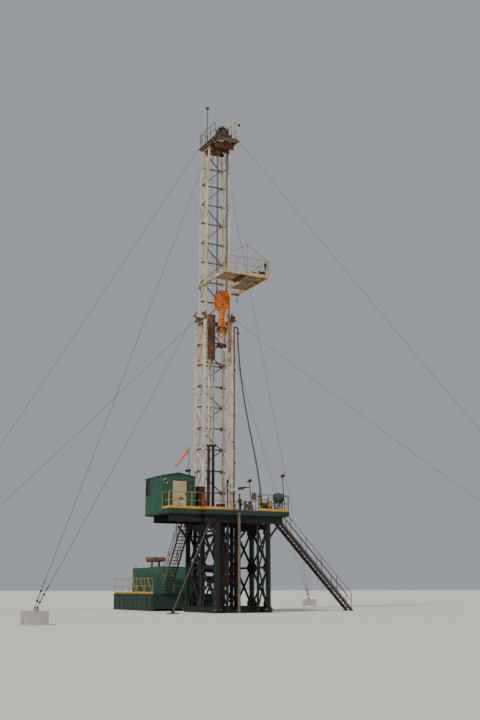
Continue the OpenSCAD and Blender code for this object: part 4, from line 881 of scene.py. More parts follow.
ready("guy_shackles", spread(shackle, shackle_places), "dark_steel")
print(len(guys), "guys are shackled")

# %% [markdown]
# ## Travelling block and hook
#
# The block hangs on its sheaves between two cheeks. Each cheek starts as a cylinder, and its lower half is
# pulled down, which gives the long round outline. A neck below takes the hook. The cheeks carry ribs, a
# slot whose dark plate is painted shade in the opening, a cap over the pin and a row of bolts, and all of it
# rides up and down with the block.

# %% Model the block
BLOCK_LOW = 20.75
NECK_H = 0.72
CHEEK_DROP = 0.49
block_body = []
for s in SIDES:
    deselect()
    bpy.ops.mesh.primitive_cylinder_add(vertices=64, radius=0.53, depth=0.06, rotation=TURNED["Y"],
                                        location=(0, s * 0.22, BLOCK_AXLE_Z))
    cheek = settle()
    edit_all()
    pick_faces(cheek, lambda centre, normal: abs(normal.y) > 0.9)
    bpy.ops.mesh.bevel(offset=0.01, segments=2)
    leave_edit()
    for point in cheek.data.vertices:
        if point.co.z < BLOCK_AXLE_Z - 0.02:
            point.co.z -= CHEEK_DROP
    block_body.append(cheek)
# spacers between the cheeks, then the foot and the neck
for x, z in ((0.44, 22.0), (0.30, 21.62)):
    block_body += [axle("Y", s * x, 0, z, 0.54, 0.09, 16, 0.008) for s in SIDES]
block_body.append(plate((-0.30, -0.20, 21.42), (0.30, 0.20, 21.78), 0.03))
deselect()
bpy.ops.mesh.primitive_cone_add(vertices=40, radius1=0.20, radius2=0.27, depth=NECK_H,
                                location=(0, 0, BLOCK_LOW + NECK_H / 2))
block_body.append(settle())
block_sheaves = []
# each sheave is a web between two rims
for y in rope_rows:
    block_sheaves.append(axle("Y", 0, y, BLOCK_AXLE_Z, 0.04, 0.748, 48))
    for rim_y in (y - 0.027, y + 0.027):
        block_sheaves.append(axle("Y", 0, rim_y, BLOCK_AXLE_Z, 0.016, 0.82, 48, 0.004))
ready("block_sheaves", block_sheaves, "dark_steel", "block")
body = ready("block_body", block_body, "block_orange", "block")
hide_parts("travelling_block")
print("block body of", len(block_body), "pieces")

# %% Dress the block
cheek_pieces = []
slot_pieces = []
bolt_places = []
for s in SIDES:
    # four ribs on a band
    for x in (-0.33, -0.12, 0.12, 0.33):
        cheek_pieces.append(plate((x - 0.022, s * 0.246, 21.72), (x + 0.022, s * 0.278, 22.24)))
    cheek_pieces.append(plate((-0.40, s * 0.246, 21.64), (0.40, s * 0.278, 21.72)))
    deselect()
    bpy.ops.mesh.primitive_cylinder_add(vertices=48, radius=0.505, depth=0.03, rotation=TURNED["Y"],
                                        location=(0, s * 0.252, BLOCK_AXLE_Z))
    # the round rim with its face pushed in, the cap over the pin, and the slot
    cheek_pieces.append(press(settle(), (0, s, 0), 0.055, 0.011))
    cheek_pieces.append(bar((0, s * 0.25, BLOCK_AXLE_Z), (0, s * 0.318, BLOCK_AXLE_Z), 0.23, 28, 0.012))
    # the slot's dark plate is painted shade in the opening
    slot = plate((-0.062, s * 0.246, 21.80), (0.062, s * 0.262, 22.28), 0.004)
    slot_pieces.append(press(slot, (0, s, 0), 0.014, 0.009))
    for k in range(11):
        x, z = polar(0.475, -10 + 20 * k)
        bolt_places.append(shift(x, s * 0.266, BLOCK_AXLE_Z + z, s * 90, "X"))
    for x, z in product((-0.47, 0.47), (21.96, 22.10, 22.24)):
        bolt_places.append(shift(x, s * 0.25, z, s * -90, "X"))
ready("block_ribs", cheek_pieces, "block_orange", "block")
ready("block_slots", slot_pieces, "dark_steel", "block")
ready("block_bolts", spread(hex_bolt(0.05, 0.03), bolt_places), "dark_steel", "block")
print(len(bolt_places), "bolts on the block")

# %% [markdown]
# The hook turns below the block. Bands mark its spring barrel, link keepers close its ears, and a latch
# shuts its mouth. The elevator under it has two handles with a bar between them, and a pin on each side.

# %% Dress the hook and elevator
hook_pieces = []
for z, radius in ((20.71, 0.214), (20.53, 0.214), (20.36, 0.214), (20.22, 0.154), (20.12, 0.154)):
    hook_pieces.append(ring(radius, 0.014, z=z))
for s in SIDES:
    for y in (-0.085, 0.085):
        hook_pieces.append(bar((s * 0.36, y, 20.02), (s * 0.30, y, 20.02), 0.05, 6, 0.006))
    hook_pieces.append(slab(s * 0.345, 0, 20.03, 0.028, 0.24, 0.20))
latch = [strut((-0.13, 0, 19.80), (-0.20, 0, 19.60), 0.07, 0.03),
         bar((-0.12, -0.085, 19.80), (-0.12, 0.085, 19.80), 0.04, 12, 0.005)]
ready("hook_bands", hook_pieces, "dark_steel", "hook")
shell = [plate((-0.25, -0.19, 20.16), (0.25, 0.19, 20.70), 0.045)]
for x, s, z in product((-0.19, 0.19), SIDES, (20.62, 20.24)):
    shell.append(bar((x, s * 0.185, z), (x, s * 0.205, z), 0.045, 6, 0.003))
ready("hook_shell", shell, "block_orange", "hook")
ready("hook_latch", latch, "rusty_steel", "hook")
elevator = []
GRIP_Z = 18.84
for s in SIDES:
    # a handle at the front, a pin at the side, and its knuckles
    elevator.append(bar((s * 0.10, -0.21, GRIP_Z), (s * 0.13, -0.36, GRIP_Z), 0.024, 10, 0.003))
    elevator.append(post(0, s * 0.235, 18.64, 18.94, 0.05, 14, 0.006))
    for z in (18.71, 18.85):
        elevator.append(plate((-0.07, s * 0.20, z - 0.02), (0.07, s * 0.255, z + 0.02)))
elevator.append(axle("X", 0, -0.36, GRIP_Z, 0.27, 0.028, 12, 0.004))
ready("elevator_fittings", elevator, "rusty_steel", "hook")
print("hook and elevator dressed")

# %% [markdown]
# ## Preventer stack
#
# The valves under the floor are held together by flanges with a ring of nuts each. The nuts are one hexagon
# turned round the flange. The side outlets get a hand wheel, which is a torus with spokes and a hub, and
# the rams get their lock screws.

# %% Nuts and hand wheels of the preventer stack
ring_places = []
ram_rows = (2.19, 2.84)
FLANGE_R = 0.29
for z, turn in ((0.41, 0), (1.12, 0), (0.90, 180), (1.70, 180), (3.15, 180)):
    ring_places += [shift(turn=30 * k + 15) @ shift(FLANGE_R, 0, z, turn, "X") for k in range(12)]
for s, z, k in product(SIDES, ram_rows, range(8)):
    y, up = polar(0.18, 45 * k + 22)
    ring_places.append(shift(s, y, z + up, s * 90, "Y"))
ready("preventer_nuts", spread(hex_bolt(0.07, 0.05), ring_places), "dark_steel")
wheels = []
WHEEL_Z = 1.35
for s in SIDES:
    wheels.append(ring(0.16, 0.014, y=s * 0.80, z=WHEEL_Z, axis="Y", around=32))
    for k in range(4):
        x, up = polar(0.158, 90 * k + 45)
        wheels.append(bar((0, s * 0.80, WHEEL_Z), (x, s * 0.80, WHEEL_Z + up), 0.016, 8))
    wheels.append(bar((0, s * 0.74, WHEEL_Z), (0, s * 0.83, WHEEL_Z), 0.05, 14, 0.006))
    wheels += [bar((s * 1.14, 0, z), (s * 1.34, 0, z), 0.07, 16, 0.008) for z in ram_rows]
ready("preventer_wheels", wheels, "rusty_steel")
print(len(ring_places), "nuts")

# %% [markdown]
# ## Floor machines
#
# The winch by the pipe gate has rope wound on its drum and a flange at each end of it. Next to it stand a
# small green tank on two saddles and a switch box on the lamp post. The rope is a row of rings, since their
# joints are hidden in the grooves between them.

# %% Winch rope, tank and box
DRUM_Y = -2.79
DRUM_Z = 7.13
turns = [ring(0.178, 0.015, 1.71 + 0.0315 * i, DRUM_Y, DRUM_Z, "X", 32) for i in range(16)]
ready("winch_rope", turns, "wire_rope")
# flanges, tie bars, the lever with its knob, and a ring of bolts on the motor
winch = [axle("X", x, DRUM_Y, DRUM_Z, 0.016, 0.52, 36, 0.004) for x in (1.695, 2.205)]
winch += [axle("X", 1.95, y, 6.84, 0.62, 0.05, 12, 0.005) for y in (-3.03, -2.55)]
winch.append(bar((2.30, -2.95, 7.30), (2.32, -3.02, 7.62), 0.024, 10, 0.003))
winch.append(bar((2.32, -3.02, 7.60), (2.325, -3.035, 7.66), 0.05, 16, 0.01))
for k in range(6):
    y, z = polar(0.18, 60 * k)
    winch.append(axle("X", 2.49, DRUM_Y + y, DRUM_Z + z, 0.03, 0.04, 6, 0.003))
ready("winch_fittings", winch, "yellow_paint")
TANK_Y = -3.05
TANK_Z = 7.66
tank = [axle("X", 2.92, TANK_Y, TANK_Z, 0.64, 0.62, 40, 0.06)]
for x in (2.72, 3.10):
    # saddle, legs and strap
    tank.append(plate((x - 0.03, TANK_Y - 0.25, 7.30), (x + 0.03, TANK_Y + 0.25, 7.52)))
    for y in (TANK_Y - 0.22, TANK_Y + 0.22):
        tank.append(plate((x - 0.025, y - 0.025, FLOOR), (x + 0.025, y + 0.025, 7.34), 0.005))
    tank.append(ring(0.312, 0.01, x, TANK_Y, TANK_Z, "X", 36, 6))
tank.append(post(2.92, TANK_Y, 7.94, 8.04, 0.10, 20, 0.008))
ready("small_tank", tank, "wall_green")
box = press(plate((1.155, -2.63, 7.50), (1.43, -2.43, 7.98), 0.012), (0, -1, 0), 0.025, 0.008)
ready("switch_box", [box, plate((1.05, -2.56, 7.66), (1.17, -2.50, 7.74))], "rusty_steel")
print("winch, tank and box placed")

# %% [markdown]
# The tool cabinet is plain in the frame. It gets two doors, each a plate with its panel pushed in, with
# hinges and a hasp, and two straps hold the row of tubes below them.

# %% Doors and straps of the tool cabinet
cabinet = [press(plate((x, -1.214, 7.88), (x + 0.25, -1.198, 8.33), 0.004), (0, -1, 0), 0.03, 0.006)
           for x in (-2.335, -2.075)]
cabinet += [axle("Z", x, -1.215, z, 0.08, 0.022, 10, 0.003) for z in (7.98, 8.24) for x in (-2.345, -1.815)]
cabinet.append(plate((-2.37, -1.22, 8.35), (-1.79, -0.76, 8.385)))
ready("cabinet_doors", cabinet, "valve_red")
# straps with their ends, caps on the tubes, and the hasp
tube_rows = [-2.28 + 0.133 * i for i in range(4)]
straps = [plate((-2.34, -1.302, z), (-1.82, -1.286, z + 0.05), 0.004) for z in (6.98, 7.62)]
straps += [plate((x, -1.30, z), (x + 0.016, -1.198, z + 0.05), 0.004) for z in (6.98, 7.62)
           for x in (-2.34, -1.836)]
straps += [post(x, -1.245, 7.84, 7.875, 0.098, 20, 0.006) for x in tube_rows]
straps.append(plate((-2.10, -1.222, 8.08), (-2.05, -1.212, 8.14), 0.003))
ready("cabinet_straps", straps, "dark_steel")
tubes = [post(x, -1.25, 6.72, 7.84, 0.112, 20, 0.006) for x in tube_rows]
ready("cabinet_tubes", tubes, "valve_red", paint="tube_red")
print("cabinet dressed")

# %% [markdown]
# ## Standpipe and rotary table
#
# The standpipe is made of lengths joined by hammer unions, whose three lugs are struck to tighten them. A
# union is a ring with a bevelled edge and three small blocks round it. The rotary table gets the rim of its
# bowl, four drive sockets, and studs that keep boots from slipping.

# %% Unions, clamps and the rotary bushing
lug = plate((0.085, -0.025, -0.045), (0.145, 0.025, 0.045), 0.008)
union = joined("union", [axle("Z", 0, 0, 0, 0.14, 0.20, 24, 0.014),
                         *spread(lug, [shift(turn=120 * k) for k in range(3)])])
union_places = [shift(1.2875, 0.5, z) for z in (7.35, 10.4, 13.8, 17.2)]
union_places += [shift(1.6075, 0.5, 20.03), shift(1.9, -2.3, 7.79), shift(1.9, -2.3, 7.1)]
ready("standpipe_unions", spread(union, union_places), "rusty_steel")
clamps = []
for z in (8.245, 11.445, 14.645, 17.845):
    clamps += [bar((1.22, y, z), (1.37, y, z), 0.02, 8, 0.002) for y in (0.434, 0.566)]
    clamps.append(plate((1.344, 0.42, z - 0.04), (1.36, 0.58, z + 0.04), 0.004))
ready("standpipe_clamps", clamps, "dark_steel")
bushing = [ring(0.262, 0.022, z=6.722, around=48)]
bushing += [post(*polar(0.42, 90 * k + 45), 6.756, 6.772, 0.11, 20, 0.005) for k in range(4)]
for k in range(24):
    stud = slab(0.33 + 0.15 * (k % 2), 0, 6.762, 0.024, 0.024, 0.008, 0.002)
    bushing += spread(stud, [shift(turn=15 * k)])
ready("rotary_bushing", bushing, "dark_steel")
print("unions, clamps and bushing placed")

# %% [markdown]
# ## Where the mast sections meet
#
# The upper section stands three metres deep in the lower one. The pair of rams lifts it there: their bright
# rods reach up to a ribbed guide on its back girts. At the collar, lock arms stick out with a brace below
# each.

# %% Ram rods, ribbed guide and lock arms
# a sheet with ribs and bands, on stands from the girts
guide = [plate((-0.48, 1.35, 17.86), (0.15, 1.362, 21.46), 0.003)]
guide += [slab(-0.455 + 0.083 * i, 1.332, 19.66, 0.036, 0.04, 3.52, 0.005) for i in range(8)]
guide += [plate((-0.50, 1.30, z), (0.17, 1.352, z + 0.06)) for z in (17.86, 18.76, 19.66, 20.56, 21.40)]
for x, z in product((-0.40, 0.07), (17.845, 19.389, 20.934)):
    guide.append(plate((x - 0.04, 1.355, z - 0.03), (x + 0.04, 1.662, z + 0.03), 0.004))
ready("ram_guide", guide, "rusty_steel", paint="guide_brown")
rods = []
for x in (-0.35, 0.02):
    # rod, gland and clevis
    rods.append(post(x, 1.3, 11.60, 17.90, 0.15, 28, 0.004))
    rods.append(post(x, 1.3, 11.68, 11.80, 0.21, 28, 0.012))
    rods.append(plate((x - 0.09, 1.21, 17.84), (x + 0.09, 1.39, 17.98), 0.012))
ready("ram_rods", rods, "mast_cream")
arms = []
arm_steel = []
# two cheeks, a boss and a brace for each arm, ears with their pins on it, and the lock pin
for s, tip in ((-1, 1.985), (1, 1.415)):
    for y in (0.42, 0.572):
        arms.append(plate((s * 1.25, y, 20.85), (s * (tip - 0.01), y + 0.01, 21.06), 0.003))
    arm_steel.append(axle("Y", s * (tip - 0.07), 0.5, 20.95, 0.26, 0.13, 20, 0.01))
    arm_steel.append(strut((s * (tip - 0.10), 0.5, 20.88), (s * 1.215, 0.5, 22.095 - tip), 0.07, 0.05))
    for x in (s * 1.30, s * (tip - 0.16)):
        arm_steel += [slab(x, y, 21.11, 0.11, 0.024, 0.18, 0.008) for y in (0.44, 0.54)]
        arm_steel.append(axle("Y", x, 0.5, 21.13, 0.20, 0.05, 14, 0.006))
    arm_steel.append(bar((s * 1.02, 0.5, 21.24), (s * 1.36, 0.5, 21.24), 0.10, 18, 0.01))
ready("lock_arm_plates", arms, "mast_cream")
ready("lock_arm_pins", arm_steel, "rusty_steel")
print("rams and arms in place")

# %% [markdown]
# ## Crown
#
# The crown has walkways of grating beside its beams, stiffeners in its beams, keeper bars that hold the
# ropes in their grooves, a round lamp and a caged step. Two deep beams and a pair of hanging sheaves sit
# below it.

# %% Dress the crown
MAST_TOP = 34.6
DECK = 34.9
crown_steel = []
for s in SIDES:
    # runners and bars of the walkway, then stiffeners in the beams
    low_x = min(s * 0.612, s * 0.93)
    for y in (-0.72, 0.18, 1.08, 1.90):
        crown_steel.append(slab(s * 0.771, y, DECK + 0.016, 0.318, 0.03, 0.032, 0.003))
    for i in range(6):
        x = low_x + 0.02 + 0.054 * i
        crown_steel.append(plate((x - 0.004, -0.72, DECK + 0.004), (x + 0.004, 1.90, DECK + 0.03), 0.002))
    for y in (-0.45, 0.0, 0.45, 0.9, 1.35, 1.8):
        crown_steel.append(slab(s * 0.53, y, DECK + 0.175, 0.132, 0.012, 0.31, 0.003))
        crown_steel.append(slab(s * 0.865, y, MAST_TOP + 0.15, 0.14, 0.012, 0.26, 0.003))
# the two deep beams with their flanges
for y in (-0.36, 0.36):
    crown_steel.append(slab(0, y, 34.37, 1.58, 0.024, 0.46))
    crown_steel += [slab(0, y, z, 1.58, 0.14, 0.02, 0.005) for z in (34.14, 34.59)]
ready("crown_dressing", crown_steel, "rusty_steel")
keepers = []
KEEPER_R = 0.452
HANG_Z = 33.9
# keeper bars, curved guards and their feet round the sheaves
for angle in (50, 90, 130):
    x, up = polar(KEEPER_R, angle)
    keepers.append(axle("Y", x, 0, AXLE_Z + up, 0.46, 0.028, 12, 0.003))
for y in (-0.215, 0.215):
    arc = [(x, y, AXLE_Z + up) for x, up in (polar(KEEPER_R, angle) for angle in range(35, 155, 10))]
    keepers += [strut(a, b, 0.012, 0.04, 0.003) for a, b in zip(arc, arc[1:])]
    keepers += [slab(x, y, 35.58, 0.08, 0.016, 0.52, 0.004) for x in (-0.40, 0.40)]
# the hanging sheaves, each on a pin between two hangers
for x, y in ((-0.22, 0.40), (0.18, 0.42)):
    keepers += [slab(x, y + side, 34.01, 0.024, 0.02, 0.30, 0.004) for side in (-0.04, 0.04)]
    keepers.append(axle("Y", x, y, HANG_Z, 0.056, 0.34, 28, 0.012))
    keepers.append(axle("Y", x, y, HANG_Z, 0.15, 0.07, 16, 0.006))
ready("crown_keepers", keepers, "dark_steel")
# posts, rungs and a stay
cage = []
for x, y in ((0.50, -0.70), (0.92, -0.70), (0.92, -0.36)):
    cage.append(plate((x - 0.028, y - 0.028, DECK), (x + 0.028, y + 0.028, 36.32)))
for i in range(5):
    z = DECK + 0.28 + 0.27 * i
    cage.append(plate((0.50, -0.715, z), (0.92, -0.685, z + 0.04), 0.005))
    cage.append(plate((0.905, -0.70, z), (0.935, -0.36, z + 0.04), 0.005))
cage.append(strut((0.92, -0.70, 36.30), (1.06, -0.74, 36.62), 0.04, 0.04))
ready("crown_cage", cage, "mast_cream")
deselect()
bpy.ops.mesh.primitive_uv_sphere_add(segments=20, ring_count=12, radius=0.11, location=(1.06, -0.72, 36.10))
# the ball on its stem, knobs on the mast pole, and bent hoops at the back
lamp_parts = [settle(), bar((0.93, -0.70, 36.10), (1.06, -0.72, 36.10), 0.04, 12, 0.004)]
for z, size in ((37.62, 0.10), (37.90, 0.08), (38.02, 0.12)):
    lamp_parts.append(post(-0.55, 1.5, z, z + 0.06, size, 18, 0.012))
for s, up in product(SIDES, (0.35, 0.75)):
    turns = [polar(1, 18 * k) for k in range(11)]
    hoop = [(s * (0.94 + 0.16 * across), 1.60 - 0.30 * along, DECK + up) for along, across in turns]
    lamp_parts += [bar(a, b, 0.032, 10) for a, b in zip(hoop, hoop[1:])]
ready("crown_lamps", lamp_parts, "dark_steel")
bearing_bolts = [shift(x, y, 35.34) for x in (-0.34, -0.24, 0.24, 0.34) for y in (-0.254, 0.254)]
bearing_bolts += [shift(s * 0.53, y, 35.25) for s in SIDES for y in (-0.60, 0.62, 1.20, 1.82)]
ready("crown_bolts", spread(hex_bolt(0.06, 0.035), bearing_bolts), "dark_steel")
print("crown dressed")

# %% [markdown]
# ## Racking board
#
# The board is a plate on channels, and its underside is what people see from the ground. It gets joists,
# fine bars and a deep divider below, and braces, a coil of rope and a small winch above.

# %% Dress the racking board
JOIST_Z = 23.55
BOARD_UNDER = 23.662
BOARD = 23.7
RAIL_Z = 24.72
under = []
# joists both ways, then the fine bars on them
for x in (-0.75, -0.33, 0.09, 0.94, 1.37, 1.80):
    under.append(plate((x - 0.025, -2.74, JOIST_Z), (x + 0.025, -1.06, BOARD_UNDER), 0.005))
for y in (-0.62, -0.25, 0.12, 0.49):
    under.append(plate((1.14, y - 0.025, JOIST_Z), (2.32, y + 0.025, BOARD_UNDER), 0.005))
under += [slab(1.46, -2.70 + 0.068 * i, 23.6355, 1.72, 0.012, 0.051, 0.002) for i in range(25)]
ready("board_joists", under, "rusty_steel", paint="board_tan")
# the divider on its foot, and a bar with a rod and an eye
divider = [plate((0.46, -2.75, 23.40), (0.54, -0.96, 23.661), 0.008),
           plate((0.42, -2.75, 23.38), (0.58, -0.96, 23.405), 0.005),
           plate((1.72, 1.76, 23.36), (2.40, 1.88, 23.478), 0.008),
           post(2.22, 1.82, 22.98, 23.37, 0.05, 12, 0.005),
           ring(0.07, 0.02, 2.22, 1.82, 22.92, "Y", 24)]
ready("board_divider", divider, "rusty_steel")
braces = []
for a, b in ((-0.24, 0.63), (1.51, 0.63)):
    braces.append(bar((a, -2.80, RAIL_Z), (b, -2.80, 23.76), 0.03, 10))
for y0, y1 in ((-2.70, -1.60), (-0.45, -1.55), (-0.40, 0.70)):
    braces.append(bar((2.38, y0, RAIL_Z), (2.38, y1, 23.76), 0.03, 10))
# a socket at the foot of each rail post
for x in (-1.11, -0.24, 0.63, 1.51, 2.38):
    braces.append(plate((x - 0.045, -2.85, BOARD), (x + 0.045, -2.755, 23.86)))
for y in (-1.6, -0.45, 0.70, 1.85):
    braces.append(plate((2.335, y - 0.045, BOARD), (2.425, y + 0.045, 23.86)))
ready("board_braces", braces, "yellow_paint")
# the winch's bed, post and box, then its drum, ends and motor, and the coil
clutter = [plate((1.75, -2.62, BOARD), (2.25, -2.25, 23.76)),
           post(2.22, -2.62, BOARD, RAIL_Z, 0.06, 14, 0.006),
           plate((2.14, -2.70, 24.28), (2.30, -2.58, 24.60), 0.01)]
for low, high, thick, sides, edge in ((1.82, 2.12, 0.20, 24, 0.01), (1.79, 1.82, 0.32, 28, 0.006),
                                      (2.12, 2.15, 0.32, 28, 0.006), (2.15, 2.30, 0.19, 20, 0.012)):
    clutter.append(bar((low, -2.43, 23.92), (high, -2.43, 23.92), thick, sides, edge))
clutter += [ring(0.19 + 0.004 * (k % 2), 0.016, 1.40, -2.45, 23.717 + 0.03 * k, around=36) for k in range(5)]
ready("board_winch", clutter, "dark_steel")
print("racking board dressed")

# %% [markdown]
# ## More machines on the floor
#
# Behind the rails stand the chain case that drives the rotary, a tong on its post, valves with hand wheels
# and a row of short pipe stands. They are plain shapes, but each has its own edges, lids and bolts.

# %% Chain case, tong, valves and pipe stands
# case, lid, foot and tunnel, then the console with its top
case = [plate((0.42, 0.98, FLOOR), (0.86, 1.62, 7.42), 0.03),
        plate((0.40, 0.96, 7.42), (0.88, 1.64, 7.46), 0.008),
        plate((0.36, 0.92, FLOOR), (0.92, 1.68, 6.74)),
        plate((0.50, 0.58, FLOOR), (0.78, 0.98, 6.94), 0.012),
        plate((-0.98, 1.02, FLOOR), (-0.62, 1.56, 7.60), 0.02),
        plate((-1.00, 0.98, 7.60), (-0.60, 1.58, 7.68), 0.01)]
case += [post(0.41, y, 6.78, 7.38, 0.03, 10, 0.004) for y in (1.10, 1.30, 1.50)]
case += [post(x, y, 7.46, 7.485, 0.04, 6, 0.004) for x, y in product((0.46, 0.82), (1.02, 1.58))]
ready("floor_drive", case, "dark_steel")
# the tong's post with three collars and a foot, and its jaw
tong = [post(0.72, 0.36, FLOOR, 9.02, 0.09, 16, 0.006),
        post(0.72, 0.36, 8.30, 8.48, 0.17, 20, 0.01),
        post(0.72, 0.36, 8.92, 9.10, 0.19, 20, 0.015),
        post(0.72, 0.36, 8.66, 8.74, 0.15, 20, 0.012),
        plate((0.60, 0.24, FLOOR), (0.84, 0.48, 6.735)),
        strut((1.30, -0.10, 8.52), (1.85, -0.34, 8.58), 0.22, 0.10, 0.02),
        strut((1.82, -0.32, 8.57), (2.05, -0.43, 8.56), 0.12, 0.06, 0.012)]
ready("tong_post", tong, "dark_steel")
ready("tong_arm", [strut((0.74, 0.34, 8.40), (1.75, -0.28, 8.44), 0.09, 0.12, 0.01)], "mast_cream")
# riser, bonnet, outlet, hand wheel and its bar
valves = []
for x, y, high in ((-0.23, -3.28, 1.05), (0.02, -2.95, 0.72), (1.42, -3.30, 0.80)):
    valves.append(post(x, y, FLOOR, FLOOR + high, 0.09, 16, 0.006))
    valves.append(slab(x, y, FLOOR + high * 0.585, 0.16, 0.16, high * 0.27, 0.02))
    valves.append(axle("X", x, y, FLOOR + high * 0.58, 0.28, 0.11, 18, 0.01))
    valves.append(ring(0.10, 0.012, x, y, FLOOR + 0.01 + high, around=28))
    valves.append(slab(x, y, FLOOR + 0.01 + high, 0.20, 0.02, 0.02, 0.003))
ready("floor_valves", valves, "dark_steel")
stands = []
for i in range(5):
    x = 0.16 + 0.155 * i
    top = 7.00 + 0.05 * (i % 2)
    stands.append(post(x, -3.22, FLOOR, top, 0.10, 20, 0.008))
    stands.append(post(x, -3.22, top, top + 0.05, 0.14, 20, 0.008))
stands.append(plate((0.06, -3.32, FLOOR), (0.88, -3.12, 6.74)))
ready("pipe_stands", stands, "deck_steel")
# bed, sides, drum, tie and motor
hoist = [plate((0.50, -2.86, FLOOR), (1.00, -2.36, 6.76), 0.008),
         plate((0.52, -2.80, 6.76), (0.56, -2.42, 7.40), 0.02),
         plate((0.94, -2.80, 6.76), (0.98, -2.42, 7.40), 0.02),
         axle("X", 0.75, -2.61, 7.06, 0.38, 0.26, 28, 0.01),
         axle("X", 0.75, -2.74, 7.34, 0.42, 0.05, 12, 0.004),
         axle("X", 1.02, -2.61, 7.06, 0.08, 0.24, 24, 0.012)]
ready("small_hoist", hoist, "rusty_steel")
print("floor machines placed")

# %% [markdown]
# ## Bracing and pipes under the floor
#
# Struts tie the columns under the mast to the side frames, and a choke line and a kill line run up beside
# the preventers. A strut is the same in each bay, so loops over the bays place them all.

# %% Struts and lines under the floor
struts = []
for s in SIDES:
    # a strut and a tie in each bay, and a strut above them
    for y in (0.5, 1.18):
        for low, high in ((0.75, 2.2), (2.2, 3.65), (3.65, 5.1)):
            struts.append(strut((s * 1.20, y, low), (s * 1.80, y, low), 0.09, 0.09))
            struts.append(strut((s * 1.20, y, low), (s * 1.80, y, high), 0.07, 0.07))
        struts.append(strut((s * 1.20, y, 5.1), (s * 1.80, y, 5.1), 0.09, 0.09))
    # crossed ties and a post at the front, and knees up to the floor beams
    for low, high in ((0.5, 2.9), (2.9, 5.3)):
        for near, far in ((1.80, 1.22), (1.22, 1.80)):
            struts.append(strut((s * near, -3.30, low), (s * far, -3.30, high), 0.08, 0.08))
    struts.append(slab(s * 1.14, -3.31, 2.925, 0.14, 0.14, 5.85, 0.008))
    for y in (-3.35, 1.15):
        struts.append(strut((s * 1.98, y, 4.9), (s * 2.75, y, 5.82), 0.12, 0.12, 0.008))
ready("under_floor_struts", struts, "dark_green_paint")
pipes = []
for x, y, low in ((-0.78, -0.62, 0.30), (-0.62, -0.74, 0.30), (0.82, 0.40, 1.35), (1.52, -2.60, 0.0)):
    # a line with its couplings
    pipes.append(post(x, y, low, 5.70, 0.075, 14))
    pipes += [axle("Z", x, y, low + up, 0.14, 0.125, 18, 0.01) for up in (0.9, 2.3, 3.6)]
# the flow line, its flange and its bands
pipes.append(bar((0, 0.34, 5.35), (0, 2.20, 5.20), 0.22, 24, 0.008))
pipes.append(bar((0, 2.16, 5.203), (0, 2.24, 5.197), 0.34, 24, 0.008))
pipes += [ring(0.12, 0.016, 0, y, 5.31 - 0.08 * y, "Y", 28) for y in (0.9, 1.7)]
ready("under_floor_pipes", pipes, "rusty_steel")
print("braced and piped")

# %% [markdown]
# ## Railings of the left stair
#
# The left stair's rails are laced with thin diagonals. Each bay of the slope gets one, turned to and fro.

# %% Lace the stair rails
lacing = []
slope = LEFT_DROP / LEFT_RUN
for side in (-2.735, -2.065):
    for i in range(7):
        run_a, run_b = 0.12 + 0.50 * i, 0.12 + 0.50 * (i + 1)
        lift_a, lift_b = (0.95, 0.10) if i % 2 else (0.10, 0.95)
        lacing.append(bar((side, 0.15 + run_a, FLOOR - run_a * slope + lift_a),
                          (side, 0.15 + run_b, FLOOR - run_b * slope + lift_b), 0.026, 8))
ready("stair_lacing", lacing, "rusty_steel", paint="rail_salmon")
print(len(lacing), "laces")

# %% [markdown]
# ## Drawworks and deck
#
# The drawworks house has doors with louvres, lifting eyes, a lid and two exhausts. Louvres are thin slats,
# repeated down each door. The skid gets stiffeners and a lip, and its rails get lacing and a toe board.

# %% Dress the house and its skid
house = []
louvres = []
for i in range(4):
    y = 5.6 + 1.25 * i
    # a door with its handle, hinges and louvres
    house.append(plate((-2.066, y, 1.36), (-2.045, y + 1.05, 2.92), 0.005))
    house.append(post(-2.09, y + 0.94, 2.02, 2.22, 0.022, 10, 0.003))
    house += [post(-2.07, y + 0.02, z, z + 0.14, 0.03, 10, 0.003) for z in (1.6, 2.7)]
    for k in range(9):
        z = 1.62 + 0.12 * k
        louvres.append(strut((-2.075, y + 0.16, z), (-2.075, y + 0.86, z), 0.05, 0.012, 0.003))
# two panels on the front
for x in (-1.55, -0.15):
    house.append(plate((x, 4.779, 1.40), (x + 1.0, 4.802, 2.24), 0.005))
    for k in range(5):
        z = 1.52 + 0.13 * k
        louvres.append(strut((x + 0.12, 4.775, z), (x + 0.88, 4.775, z), 0.012, 0.05, 0.003))
house.append(plate((-1.85, 6.2, 3.10), (0.10, 8.4, 3.16), 0.01))
house += [ring(0.08, 0.018, x, y, 3.17, "Y", 24) for x, y in product((-1.9, 0.9), (5.5, 10.9))]
ready("house_doors", house, "wall_green")
ready("house_louvres", louvres, "dark_steel")
exhausts = []
for x in (-1.2, -0.6):
    # pipe, silencer and outlet
    exhausts.append(post(x, 9.4, 3.08, 3.62, 0.16, 20, 0.01))
    exhausts.append(bar((x, 8.5, 3.74), (x, 10.2, 3.74), 0.36, 28, 0.03))
    exhausts.append(bar((x, 10.2, 3.74), (x, 10.5, 3.92), 0.15, 20, 0.006))
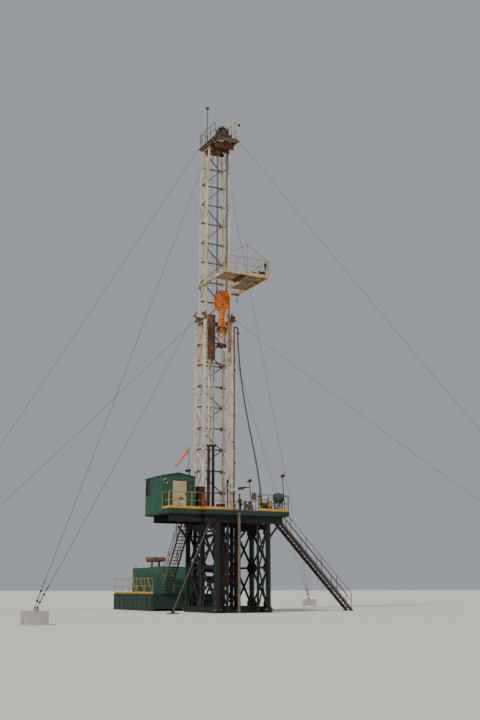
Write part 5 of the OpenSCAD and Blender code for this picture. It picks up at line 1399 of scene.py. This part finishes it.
ready("house_exhausts", exhausts, "rusty_steel")
skid = []
for i, x in product(range(9), (-3.408, 1.492)):
    skid.append(slab(x + 0.008, 4.15 + 0.9 * i, 0.60, 0.056, 0.08, 1.0))
for x, z in product((-3.43, 1.488), (0.03, 1.08)):
    skid.append(plate((x, 3.92, z), (x + 0.042, 11.58, z + 0.07)))
skid.append(plate((-3.38, 3.868, 1.08), (1.48, 3.90, 1.15)))
ready("skid_ribs", skid, "green_paint")
deck_lace = []
for i in range(4):
    y = 4.2 + 1.45 * i
    for foot in (y, y + 1.4):
        deck_lace.append(bar((-3.35, foot, 1.25), (-3.35, y + 0.7, 2.22), 0.024, 8))
deck_lace.append(plate((-3.36, 3.95, 1.20), (-3.345, 11.50, 1.34), 0.003))
ready("deck_lacing", deck_lace, "yellow_paint")
print("house and skid dressed")

# %% [markdown]
# ## Last step
#
# The ground and light come last. A pale plain ground and a soft sky keep the eye on the rig. A wide sun
# throws soft shadows, and a weaker and wider one lifts the dark sides.

# %% Lay the ground and light the rig
deselect()
bpy.ops.mesh.primitive_plane_add(size=900, location=(0, 60, -0.004))
ground = settle("pale_floor")
shader = start_finish("pale_floor")[1]
shader.inputs["Base Color"].default_value = (0.62, 0.58, 0.52, 1)
shader.inputs["Roughness"].default_value = 0.95
ground.data.materials.append(finish_of["pale_floor"])

sky = bpy.data.worlds.new("soft_sky")
sky.use_nodes = True
background = sky.node_tree.nodes["Background"]
background.inputs["Color"].default_value = (0.62, 0.66, 0.72, 1)
background.inputs["Strength"].default_value = 0.55
bpy.context.scene.world = sky


def soft_sun(name, strength, width, pitch, heading):
    """A far light as wide as the given angle in degrees."""
    data = bpy.data.lights.new(name, "SUN")
    data.energy = strength
    data.angle = math.radians(width)
    lamp = bpy.data.objects.new(name, data)
    lamp.rotation_euler = (math.radians(pitch), 0, math.radians(heading))
    bpy.context.collection.objects.link(lamp)


soft_sun("key_light", 3.6, 10, 50, -58)
soft_sun("fill_light", 0.5, 60, 60, 30)
print("ground laid, two suns lit")
